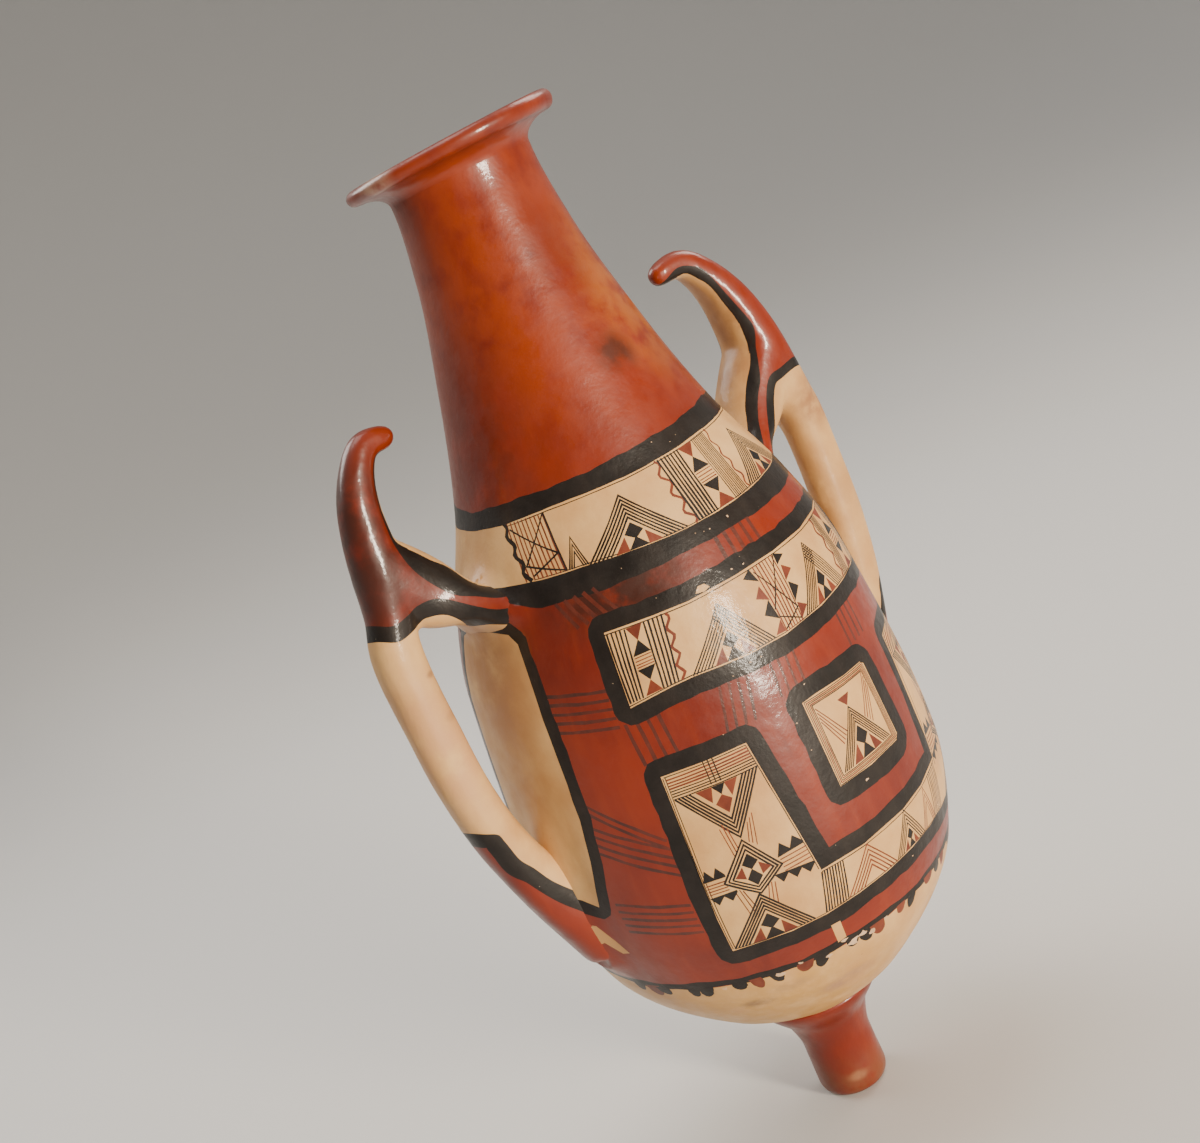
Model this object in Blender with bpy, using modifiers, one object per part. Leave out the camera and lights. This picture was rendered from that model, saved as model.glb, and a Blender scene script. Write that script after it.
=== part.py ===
"""Footed jar of painted, fired clay with two horned handles (Blender 4.5, metres, +Z up).

The jar stands upright on the flat under its foot. The origin is the middle of that flat, the two
handles stand along -X and +X, and the painted front faces -Y. It is fired as one piece of clay, so it
is one object: a turned, hollow body on a solid foot, with the two handles joined to its wall.
"""
import math

import bmesh
import bpy

# Foot: a solid stub, worn round at its end, with a small flat under it
FOOT_FLAT_RADIUS = 0.0158
FOOT_RADIUS = 0.0204
FOOT_EDGE_HEIGHT = 0.0070
FOOT_WAIST_RADIUS = 0.0202
FOOT_WAIST_HEIGHT = 0.0230
FOOT_FLARE_RADIUS = 0.0240
FOOT_FLARE_HEIGHT = 0.0160
FOOT_TOP_RADIUS = 0.0365
FOOT_TOP_HEIGHT = 0.0200

# Body from the foot up: the radius at each station, and its rise from the station below
BOWL_RADIUS = 0.0645
BOWL_HEIGHT = 0.0180
LOWER_BELLY_RADIUS = 0.1045
LOWER_BELLY_HEIGHT = 0.0500
BELLY_RADIUS = 0.1163
BELLY_HEIGHT = 0.0560
UPPER_BELLY_RADIUS = 0.1073
UPPER_BELLY_HEIGHT = 0.1100
SHOULDER_RADIUS = 0.0938
SHOULDER_HEIGHT = 0.0460
NECK_BASE_RADIUS = 0.0738
NECK_BASE_HEIGHT = 0.0450
NECK_RADIUS = 0.0568
NECK_HEIGHT = 0.0560
UPPER_NECK_RADIUS = 0.0434
UPPER_NECK_HEIGHT = 0.0570
THROAT_RADIUS = 0.0388
THROAT_HEIGHT = 0.0410

# Lip: a short flare with a rounded edge
LIP_RADIUS = 0.0576
LIP_HEIGHT = 0.0180
LIP_THICKNESS = 0.0092
# Rise of the lip towards +X, per length across it
LIP_TILT = 0.09

# Clay thickness of the wall, and at the bottom of the hollow above the solid foot
WALL = 0.0065
FLOOR_THICKNESS = 0.0100

# Strap of each handle: its thickness and the heights that it runs between
STRAP_RADIUS = 0.0128
STRAP_TOP = 0.3470
STRAP_BEND = 0.3050
STRAP_ROOT = 0.1640
STRAP_ROOT_RADIUS = 0.0120
STRAP_BEND_POWER = 2.0

# Arm from the shoulder to the horn: where it starts, its half thickness there and further out, and
# its half width at the root
ARM_ROOT = 0.3450
ARM_ROOT_RADIUS = 0.0085
ARM_RADIUS = 0.0185
ARM_ROOT_SPREAD = 0.0280
ARM_SAG = 0.0020
HORN_TIP_RADIUS = 0.0055

# The pair is shaped by hand, so each handle has its own side, clearance off the widest belly, and horn:
# the horn's rise over the strap, its reach back over the shoulder, its half thickness and half width
LEFT_HANDLE = {
    "side": -1.0, "finger_gap": 0.0130, "rise": 0.1000, "reach": 0.0470, "half": 0.0130, "spread": 0.0140,
}
RIGHT_HANDLE = {
    "side": 1.0, "finger_gap": 0.0160, "rise": 0.1120, "reach": 0.0610, "half": 0.0150, "spread": 0.0205,
}

# Facet counts
TURNED_STEPS = 42
ROWS_PER_STATION = 3
ARC_ROWS = 3
SECTION_SIDES = 14
RINGS_PER_STATION = 3
CLAY_RED = (0.26, 0.035, 0.012, 1.0)


def clear_scene():
    """Remove every object that the scene starts with."""
    for item in list(bpy.data.objects):
        bpy.data.objects.remove(item, do_unlink=True)


def make_collection(name):
    """A new collection, linked to the scene."""
    collection = bpy.data.collections.new(name)
    bpy.context.scene.collection.children.link(collection)
    return collection


def stack(rises):
    """Radius and rise pairs as (radius, height) stations, each height the sum of the rises so far."""
    height = 0.0
    stations = []
    for radius, rise in rises:
        height += rise
        stations.append((radius, height))
    return stations


def foot_stations():
    """Stations of the foot's side, from its rounded edge up to the crease under the belly."""
    return stack((
        (FOOT_RADIUS, FOOT_EDGE_HEIGHT),
        (FOOT_WAIST_RADIUS, FOOT_WAIST_HEIGHT),
        (FOOT_FLARE_RADIUS, FOOT_FLARE_HEIGHT),
        (FOOT_TOP_RADIUS, FOOT_TOP_HEIGHT),
    ))


def body_stations():
    """Stations of the body, from the crease over the foot up to the throat."""
    return stack((
        (FOOT_TOP_RADIUS, foot_stations()[-1][1]),
        (BOWL_RADIUS, BOWL_HEIGHT),
        (LOWER_BELLY_RADIUS, LOWER_BELLY_HEIGHT),
        (BELLY_RADIUS, BELLY_HEIGHT),
        (UPPER_BELLY_RADIUS, UPPER_BELLY_HEIGHT),
        (SHOULDER_RADIUS, SHOULDER_HEIGHT),
        (NECK_BASE_RADIUS, NECK_BASE_HEIGHT),
        (NECK_RADIUS, NECK_HEIGHT),
        (UPPER_NECK_RADIUS, UPPER_NECK_HEIGHT),
        (THROAT_RADIUS, THROAT_HEIGHT),
    ))


def station_slopes(stations):
    """Radius per height at each station, level wherever the outline turns back on itself."""
    steps = []
    for lower, upper in zip(stations, stations[1:]):
        span = upper[1] - lower[1]
        steps.append(((upper[0] - lower[0]) / span, span))
    slopes = [steps[0][0]]
    for (below, span_below), (above, span_above) in zip(steps, steps[1:]):
        if below * above <= 0.0:
            slopes.append(0.0)
            continue
        weight_below = 2.0 * span_above + span_below
        weight_above = span_above + 2.0 * span_below
        slopes.append((weight_below + weight_above) / (weight_below / below + weight_above / above))
    slopes.append(0.0)
    return slopes


def smooth_outline(stations, rows):
    """A smooth curve through the stations, as (radius, height, slope) points, rows to each span."""
    slopes = station_slopes(stations)
    points = []
    for index, (lower, upper) in enumerate(zip(stations, stations[1:])):
        span = upper[1] - lower[1]
        start, end = span * slopes[index], span * slopes[index + 1]
        step = upper[0] - lower[0]
        for row in range(rows + (index == len(stations) - 2)):
            t = row / rows
            radius = (
                lower[0] + start * t + (3.0 * step - 2.0 * start - end) * t ** 2
                + (start + end - 2.0 * step) * t ** 3
            )
            slope = (
                start + 2.0 * (3.0 * step - 2.0 * start - end) * t
                + 3.0 * (start + end - 2.0 * step) * t ** 2
            )
            points.append((radius, lower[1] + t * span, slope / span))
    return points


def inset_outline(outline, depth):
    """The outline moved square to itself into the clay, as (radius, height) points."""
    points = []
    for radius, height, slope in outline:
        length = math.hypot(1.0, slope)
        points.append((radius - depth / length, height + depth * slope / length))
    return points


def body_radius(height):
    """Outer radius of the body at a height between two rows of its outline."""
    outline = smooth_outline(body_stations(), ROWS_PER_STATION)
    for lower, upper in zip(outline, outline[1:]):
        if lower[1] <= height <= upper[1]:
            share = (height - lower[1]) / (upper[1] - lower[1])
            return lower[0] + share * (upper[0] - lower[0])
    return outline[0][0] if height < outline[0][1] else outline[-1][0]


def quarter_arc(start, end, level_first):
    """Points of a quarter ellipse after start up to end, leaving start level or else upright."""
    points = []
    for row in range(1, ARC_ROWS + 1):
        angle = 0.5 * math.pi * row / ARC_ROWS
        fast, slow = math.sin(angle), 1.0 - math.cos(angle)
        across, along = (fast, slow) if level_first else (slow, fast)
        points.append((start[0] + across * (end[0] - start[0]), start[1] + along * (end[1] - start[1])))
    return points


def jar_profile():
    """The wall's closed section: the foot and outer side going up, the lip, and the hollow going down."""
    foot = [(0.0, 0.0), (FOOT_FLAT_RADIUS, 0.0)]
    foot += quarter_arc(foot[-1], foot_stations()[0], True)
    foot += [point[:2] for point in smooth_outline(foot_stations(), ROWS_PER_STATION)[1:-1]]
    outline = smooth_outline(body_stations(), ROWS_PER_STATION)
    outer = [point[:2] for point in outline]
    inner = inset_outline(outline, WALL)
    rim_radius = LIP_RADIUS - 0.5 * LIP_THICKNESS
    rim_height = outer[-1][1] + LIP_HEIGHT
    outer += quarter_arc(outer[-1], (rim_radius, rim_height - LIP_THICKNESS), False)
    outer += quarter_arc(outer[-1], (LIP_RADIUS, rim_height - 0.5 * LIP_THICKNESS), True)
    outer += quarter_arc(outer[-1], (rim_radius, rim_height), False)
    inner += quarter_arc(inner[-1], (rim_radius, rim_height), False)[:-1]
    floor = outer[0][1] + FLOOR_THICKNESS
    hollow = [(0.0, floor)] + [point for point in inner if point[1] > floor]
    return foot + outer + hollow[::-1]


def seat_profile():
    """A solid of revolution that ends halfway into the wall, where the limbs of the handles stop."""
    middle = inset_outline(smooth_outline(body_stations(), ROWS_PER_STATION), 0.5 * WALL)
    return [(0.0, middle[0][1])] + middle + [(0.0, middle[-1][1])]


def turned(name, profile, collection):
    """A solid of revolution about Z from a section given bottom to top along its outer side."""
    mesh = bpy.data.meshes.new(name)
    points = profile[::-1]
    edges = [(index, index + 1) for index in range(len(points) - 1)]
    mesh.from_pydata([(radius, 0.0, height) for radius, height in points], edges, [])
    item = bpy.data.objects.new(name, mesh)
    collection.objects.link(item)
    screw = item.modifiers.new("Turning", "SCREW")
    screw.axis = "Z"
    screw.steps = TURNED_STEPS
    screw.render_steps = TURNED_STEPS
    screw.use_merge_vertices = True
    screw.merge_threshold = 0.0001
    return item


def tilt_lip(item):
    """Bake the turned shape into a mesh, and tip its lip: level at the throat, higher towards +X."""
    evaluated = item.evaluated_get(bpy.context.evaluated_depsgraph_get())
    mesh = bpy.data.meshes.new_from_object(evaluated)
    item.modifiers.clear()
    item.data = mesh
    throat = body_stations()[-2][1]
    rim = body_stations()[-1][1] + LIP_HEIGHT
    for vertex in mesh.vertices:
        share = min(max((vertex.co.z - throat) / (rim - throat), 0.0), 1.0)
        vertex.co.z += LIP_TILT * share ** 2 * vertex.co.x


def strap_reach(handle):
    """Radius of the strap's centre line, where it stands clear of the widest belly."""
    return BELLY_RADIUS + handle["finger_gap"] + STRAP_RADIUS


def horn_stations(handle):
    """Stations from the horn's tip down to the strap, as radius, height, half thickness, half width."""
    shape = (
        (1.00, 0.955, 0.00),
        (0.86, 0.990, 0.14),
        (0.64, 0.985, 0.28),
        (0.45, 0.880, 0.45),
        (0.32, 0.740, 0.66),
        (0.25, 0.580, 0.86),
        (0.21, 0.420, 1.00),
        (0.11, 0.210, 0.86),
    )
    stations = []
    for reach, rise, swell in shape:
        stations.append((
            strap_reach(handle) - reach * handle["reach"],
            STRAP_TOP + rise * handle["rise"],
            HORN_TIP_RADIUS + swell * (handle["half"] - HORN_TIP_RADIUS),
            HORN_TIP_RADIUS + swell * (handle["spread"] - HORN_TIP_RADIUS),
        ))
    return stations


def strap_stations(handle):
    """Stations down the strap, and along its bend into the belly wall."""
    reach = strap_reach(handle)
    root = body_radius(STRAP_ROOT) - WALL
    stations = [(reach, STRAP_TOP, STRAP_RADIUS, STRAP_RADIUS)]
    for share in (0.0, 0.2, 0.4, 0.6, 0.8, 1.0):
        radius = reach - (reach - root) * share ** STRAP_BEND_POWER
        height = STRAP_BEND + share * (STRAP_ROOT - STRAP_BEND)
        swell = STRAP_RADIUS + share * (STRAP_ROOT_RADIUS - STRAP_RADIUS)
        stations.append((radius, height, swell, swell))
    return stations


def arm_stations(handle):
    """Stations of the arm, from inside the shoulder's wall up into the base of the horn."""
    root = (body_radius(ARM_ROOT) - WALL, ARM_ROOT)
    base = horn_stations(handle)[-2]
    stations = []
    for share, sag, swell, flare in (
        (0.00, 0.0, 0.00, 1.0),
        (0.22, 0.6, 0.15, 0.6),
        (0.50, 1.0, 0.80, 0.1),
        (0.75, 0.6, 1.00, 0.0),
        (1.00, 0.0, 1.00, 0.0),
    ):
        stations.append((
            root[0] + share * (base[0] - root[0]),
            root[1] + share * (base[1] - root[1]) - sag * ARM_SAG,
            ARM_ROOT_RADIUS + swell * (ARM_RADIUS - ARM_ROOT_RADIUS),
            handle["spread"] + flare * (ARM_ROOT_SPREAD - handle["spread"]),
        ))
    return stations


def through_stations(stations):
    """Rings of a smooth limb: the stations, with others between them on Catmull-Rom curves."""
    padded = [stations[0]] + stations + [stations[-1]]
    rings = []
    for index in range(1, len(stations)):
        before, start, end, after = padded[index - 1:index + 3]
        for step in range(RINGS_PER_STATION):
            t = step / RINGS_PER_STATION
            rings.append(tuple(
                b + 0.5 * t * (c - a) + t * t * (a - 2.5 * b + 2.0 * c - 0.5 * d)
                + t ** 3 * (1.5 * b - 0.5 * a - 1.5 * c + 0.5 * d)
                for a, b, c, d in zip(before, start, end, after)
            ))
    return rings + [stations[-1]]


def limb(name, stations, side, collection):
    """A solid with elliptical sections square to a path in the XZ plane, on the given side of the jar."""
    rings = through_stations(stations)
    shape = bmesh.new()
    loops = []
    for index, (radius, height, half, width) in enumerate(rings):
        before, after = rings[max(index - 1, 0)], rings[min(index + 1, len(rings) - 1)]
        run, rise = after[0] - before[0], after[1] - before[1]
        length = math.hypot(run, rise)
        loop = []
        for corner in range(SECTION_SIDES):
            angle = 2.0 * math.pi * corner / SECTION_SIDES
            out = half * math.cos(angle)
            across = width * math.sin(angle)
            place = (side * (radius - out * rise / length), side * across, height + out * run / length)
            loop.append(shape.verts.new(place))
        loops.append(loop)
    for lower, upper in zip(loops, loops[1:]):
        for corner in range(SECTION_SIDES):
            following = (corner + 1) % SECTION_SIDES
            shape.faces.new((lower[corner], lower[following], upper[following], upper[corner]))
    shape.faces.new(loops[0][::-1])
    shape.faces.new(loops[-1])
    bmesh.ops.recalc_face_normals(shape, faces=shape.faces)
    mesh = bpy.data.meshes.new(name)
    shape.to_mesh(mesh)
    shape.free()
    item = bpy.data.objects.new(name, mesh)
    collection.objects.link(item)
    item.hide_render = True
    item.display_type = "WIRE"
    return item


def join_or_cut(item, tool, operation):
    """Add a Boolean modifier with the exact solver."""
    boolean = item.modifiers.new(operation.title() + " " + tool.name, "BOOLEAN")
    boolean.operation = operation
    boolean.solver = "EXACT"
    boolean.object = tool


def clay_material():
    """Fired clay in its burnished red slip."""
    material = bpy.data.materials.new("burnished_red_clay")
    material.use_nodes = True
    shader = material.node_tree.nodes["Principled BSDF"]
    shader.inputs["Base Color"].default_value = CLAY_RED
    shader.inputs["Roughness"].default_value = 0.38
    shader.inputs["Metallic"].default_value = 0.0
    return material


def build_jar():
    """The whole jar: the turned body, joined to a strap with its horn and an arm on either side."""
    clear_scene()
    shown = make_collection("footed_jar")
    tools = make_collection("handle_shapes")
    jar = turned("jar", jar_profile(), shown)
    tilt_lip(jar)
    seat = turned("wall_seat", seat_profile(), tools)
    seat.hide_render = True
    seat.display_type = "WIRE"
    for word, handle in (("left", LEFT_HANDLE), ("right", RIGHT_HANDLE)):
        strap = limb(word + "_strap", horn_stations(handle) + strap_stations(handle), handle["side"], tools)
        arm = limb(word + "_arm", arm_stations(handle), handle["side"], tools)
        for part in (strap, arm):
            join_or_cut(part, seat, "DIFFERENCE")
        join_or_cut(jar, strap, "UNION")
        join_or_cut(jar, arm, "UNION")
    jar.data.materials.append(clay_material())
    return jar


build_jar()
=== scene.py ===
"""Dressed model of the painted footed jar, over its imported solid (Blender 4.5, metres, +Z up).

The body is one surface whose triangles follow the painted pattern, so each stroke of slip has a clean
edge and no picture is used. Angles of the painted pattern are degrees round the jar and its heights
are marks, a mark being a thousandth of the jar's height of 0.56 m. MARK_LENGTH and DEGREE_LENGTH are
what a mark and, near the belly, a degree measure in millimetres. POLE is the radius of the smallest
ring round an axis, in metres.
"""

import logging
import math
import random
from collections.abc import Callable
from dataclasses import dataclass, field
from enum import Enum

import bmesh
import bpy
import numpy as np
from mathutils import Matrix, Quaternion, Vector
from mathutils.geometry import delaunay_2d_cdt


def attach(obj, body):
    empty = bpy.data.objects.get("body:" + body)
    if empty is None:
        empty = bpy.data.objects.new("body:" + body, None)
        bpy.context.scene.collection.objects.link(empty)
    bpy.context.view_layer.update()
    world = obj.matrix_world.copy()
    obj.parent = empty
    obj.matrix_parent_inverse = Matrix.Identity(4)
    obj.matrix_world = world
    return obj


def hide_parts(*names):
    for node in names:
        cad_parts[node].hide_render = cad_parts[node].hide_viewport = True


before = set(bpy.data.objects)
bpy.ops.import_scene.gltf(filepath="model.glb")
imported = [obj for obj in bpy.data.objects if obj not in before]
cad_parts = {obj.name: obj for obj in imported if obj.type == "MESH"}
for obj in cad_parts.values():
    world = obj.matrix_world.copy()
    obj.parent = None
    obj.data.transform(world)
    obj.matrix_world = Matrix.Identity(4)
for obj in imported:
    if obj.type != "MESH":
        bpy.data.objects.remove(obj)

LOG = logging.getLogger("footed_jar")
NODE = "jar"
MILLIMETRE = 0.001
MARK_LENGTH = 0.56
DEGREE_LENGTH = 1.9
MARK = MARK_LENGTH * MILLIMETRE
FULL_TURN = 360.0
HALF_TURN = 180.0
POLE = 0.0004

Point = tuple[float, float]
Colour = tuple[float, float, float]


class Paint(Enum):
    """The slips and paints that a potter lays on the jar, in the order of its material slots."""

    RED = 0
    CREAM = 1
    BLACK = 2
    BROWN = 3
    STROKE = 4
    FLAKE = 5
    CLAY = 6


class Side(Enum):
    """The side of the jar that a handle stands on, as the sign of its X."""

    LEFT = -1.0
    RIGHT = 1.0


# Finishes


class Shading:
    """A small helper that adds nodes to one material and joins them."""

    def __init__(self, material: bpy.types.Material) -> None:
        """Keeps the material's node tree and clears it.

        Args:
            material: The material that the nodes are for.
        """
        material.use_nodes = True
        self.tree = material.node_tree
        self.tree.nodes.clear()

    def feed(self, socket: bpy.types.NodeSocket, value: object) -> None:
        """Joins a source to a socket, or sets the socket to a plain value.

        Args:
            socket: The socket.
            value: The source, or the value.
        """
        if isinstance(value, bpy.types.NodeSocket):
            self.tree.links.new(value, socket)
        else:
            socket.default_value = value

    def add(self, kind: str, *inputs: object, **settings: object) -> bpy.types.Node:
        """Adds a node, and sets its properties and feeds its sockets.

        Args:
            kind: The node's type.
            inputs: What its first sockets get, in order.
            settings: Property names, or socket names with spaces written as underscores.

        Returns:
            The new node.
        """
        node = self.tree.nodes.new(kind)
        for name, value in settings.items():
            if hasattr(node, name):
                setattr(node, name, value)
            else:
                self.feed(node.inputs[name.replace("_", " ")], value)
        for socket, value in zip(node.inputs, inputs):
            self.feed(socket, value)
        return node

    def noise(self, vector: bpy.types.NodeSocket, scale: float, detail: float = 4.0,
              low: float = 0.35, high: float = 0.65) -> bpy.types.NodeSocket:
        """Noise at a scale, stretched to run from nought to one between two of its levels.

        Args:
            vector: Where the noise is read.
            scale: Waves per metre.
            detail: Octaves of finer noise.
            low: The level that becomes nought.
            high: The level that becomes one.

        Returns:
            The stretched noise.
        """
        texture = self.add("ShaderNodeTexNoise", vector, Scale=scale, Detail=detail, Roughness=0.55)
        reach = self.add("ShaderNodeMapRange", texture.outputs["Fac"], low, high,
                         interpolation_type="SMOOTHSTEP")
        return reach.outputs["Result"]

    def mix(self, share: bpy.types.NodeSocket, base: object, over: object,
            most: float = 1.0) -> bpy.types.NodeSocket:
        """Mixes two colours by a share.

        Args:
            share: How much of the second colour shows.
            base: A colour or a colour socket.
            over: A colour or a colour socket.
            most: The share's highest value.

        Returns:
            The mixed colour.
        """
        if most < 1.0:
            share = self.add("ShaderNodeMath", share, most, operation="MULTIPLY").outputs[0]
        node = self.add("ShaderNodeMix", share, data_type="RGBA", blend_type="MIX")
        for name, value in (("A", base), ("B", over)):
            socket = next(s for s in node.inputs if s.name == name and s.type == "RGBA")
            self.feed(socket, (*value, 1.0) if isinstance(value, tuple) else value)
        return next(s for s in node.outputs if s.type == "RGBA")

    def finish(self, shader: bpy.types.Node) -> None:
        """Makes a shader the material's surface."""
        self.add("ShaderNodeOutputMaterial", Surface=shader.outputs["BSDF"])


@dataclass(frozen=True)
class StainOrShade:
    """A soft patch of another tone: a fire cloud, an ochre streak, a worn end, or painted shade on a shaded
    part.
    """

    centre: tuple[float, float, float]
    radius: float
    colour: Colour
    strength: float
    stretch: tuple[float, float, float] = (1.0, 1.0, 1.0)
    core: float = 0.25


@dataclass(frozen=True)
class Slip:
    """A burnished slip or paint under a thin, slightly uneven varnish."""

    name: str
    dark: Colour
    tone: Colour
    light: Colour
    roughness: float
    varnish: float
    mottle: float = 22.0
    streaks: float = 0.35
    specks: float = 0.0
    speck_colour: Colour = (0.55, 0.42, 0.28)
    grain: float = 0.25
    gloss: float = 0.3
    stains_and_shade: tuple[StainOrShade, ...] = ()
    streak_scale: float = 130.0
    streak_length: float = 0.12
    speck_scale: float = 330.0
    speck_cover: float = 0.8
    cloud_scale: float = 70.0
    rough_scale: float = 90.0
    varnish_roughness: float = 0.13
    hand_scale: float = 55.0
    hand_strength: float = 0.18
    hand_height: float = 0.0012
    skin_scale: float = 520.0
    skin_height: float = 0.0004

    def tones(self, shading: Shading, place: bpy.types.NodeSocket) -> bpy.types.NodeSocket:
        """Clouds, burnishing streaks, patches of other tones and of painted shade, and specks, as one colour.

        Args:
            shading: The material's nodes.
            place: Where on the jar a point lies, in metres.

        Returns:
            The colour.
        """
        colour = shading.mix(shading.noise(place, self.mottle, 6.0, 0.3, 0.7), self.dark, self.tone)
        drawn = shading.add("ShaderNodeMapping", place, vector_type="POINT",
                            Scale=(1.0, 1.0, self.streak_length))
        streak = shading.noise(drawn.outputs["Vector"], self.streak_scale, 5.0, 0.45, 0.75)
        colour = shading.mix(streak, colour, self.light, self.streaks)
        for patch_or_shade in self.stains_and_shade:
            colour = self.stained_or_shaded(shading, place, colour, patch_or_shade)
        if self.specks:
            speck = shading.noise(place, self.speck_scale, 3.0, 0.79 - self.specks, 0.82 - self.specks)
            colour = shading.mix(speck, colour, self.speck_colour, self.speck_cover)
        return colour

    def stained_or_shaded(self, shading: Shading, place: bpy.types.NodeSocket, colour: bpy.types.NodeSocket,
                patch_or_shade: StainOrShade) -> bpy.types.NodeSocket:
        """Lays one patch of another tone or of painted shade over a colour, with a cloudy edge.

        Args:
            shading: The material's nodes.
            place: Where on the jar a point lies.
            colour: The colour under the patch.
            patch_or_shade: The patch of another tone or of painted shade.

        Returns:
            The colour with the patch laid over it.
        """
        offset = shading.add("ShaderNodeVectorMath", place, patch_or_shade.centre, operation="SUBTRACT")
        squeezed = shading.add("ShaderNodeVectorMath", offset.outputs["Vector"], patch_or_shade.stretch,
                               operation="MULTIPLY")
        away = shading.add("ShaderNodeVectorMath", squeezed.outputs["Vector"], operation="LENGTH")
        near = shading.add("ShaderNodeMapRange", away.outputs["Value"], patch_or_shade.radius,
                           patch_or_shade.core * patch_or_shade.radius, interpolation_type="SMOOTHSTEP")
        cloud = shading.noise(place, self.cloud_scale, 5.0, 0.25, 0.6)
        cloudy = shading.add("ShaderNodeMath", near.outputs["Result"], cloud, operation="MULTIPLY")
        return shading.mix(cloudy.outputs[0], colour, patch_or_shade.colour, patch_or_shade.strength)

    def material(self) -> bpy.types.Material:
        """Builds the finish as a material.

        Returns:
            The material.
        """
        material = bpy.data.materials.new(self.name)
        shading = Shading(material)
        place = shading.add("ShaderNodeTexCoord").outputs["Object"]
        rough = shading.add("ShaderNodeMapRange", shading.noise(place, self.rough_scale),
                            To_Min=self.roughness - 0.06, To_Max=self.roughness + 0.08)
        hand = shading.add("ShaderNodeBump", Strength=self.hand_strength, Distance=self.hand_height,
                           Height=shading.noise(place, self.hand_scale, 3.0, 0.2, 0.8))
        skin = shading.add("ShaderNodeBump", Strength=self.grain, Distance=self.skin_height,
                           Height=shading.noise(place, self.skin_scale, 3.0, 0.2, 0.8),
                           Normal=hand.outputs["Normal"])
        shading.finish(shading.add(
            "ShaderNodeBsdfPrincipled", Base_Color=self.tones(shading, place),
            Roughness=rough.outputs["Result"], Specular_IOR_Level=self.gloss, Normal=skin.outputs["Normal"],
            Coat_Weight=self.varnish, Coat_Roughness=self.varnish_roughness, Coat_IOR=1.5,
            Coat_Normal=skin.outputs["Normal"],
        ))
        return material


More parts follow.
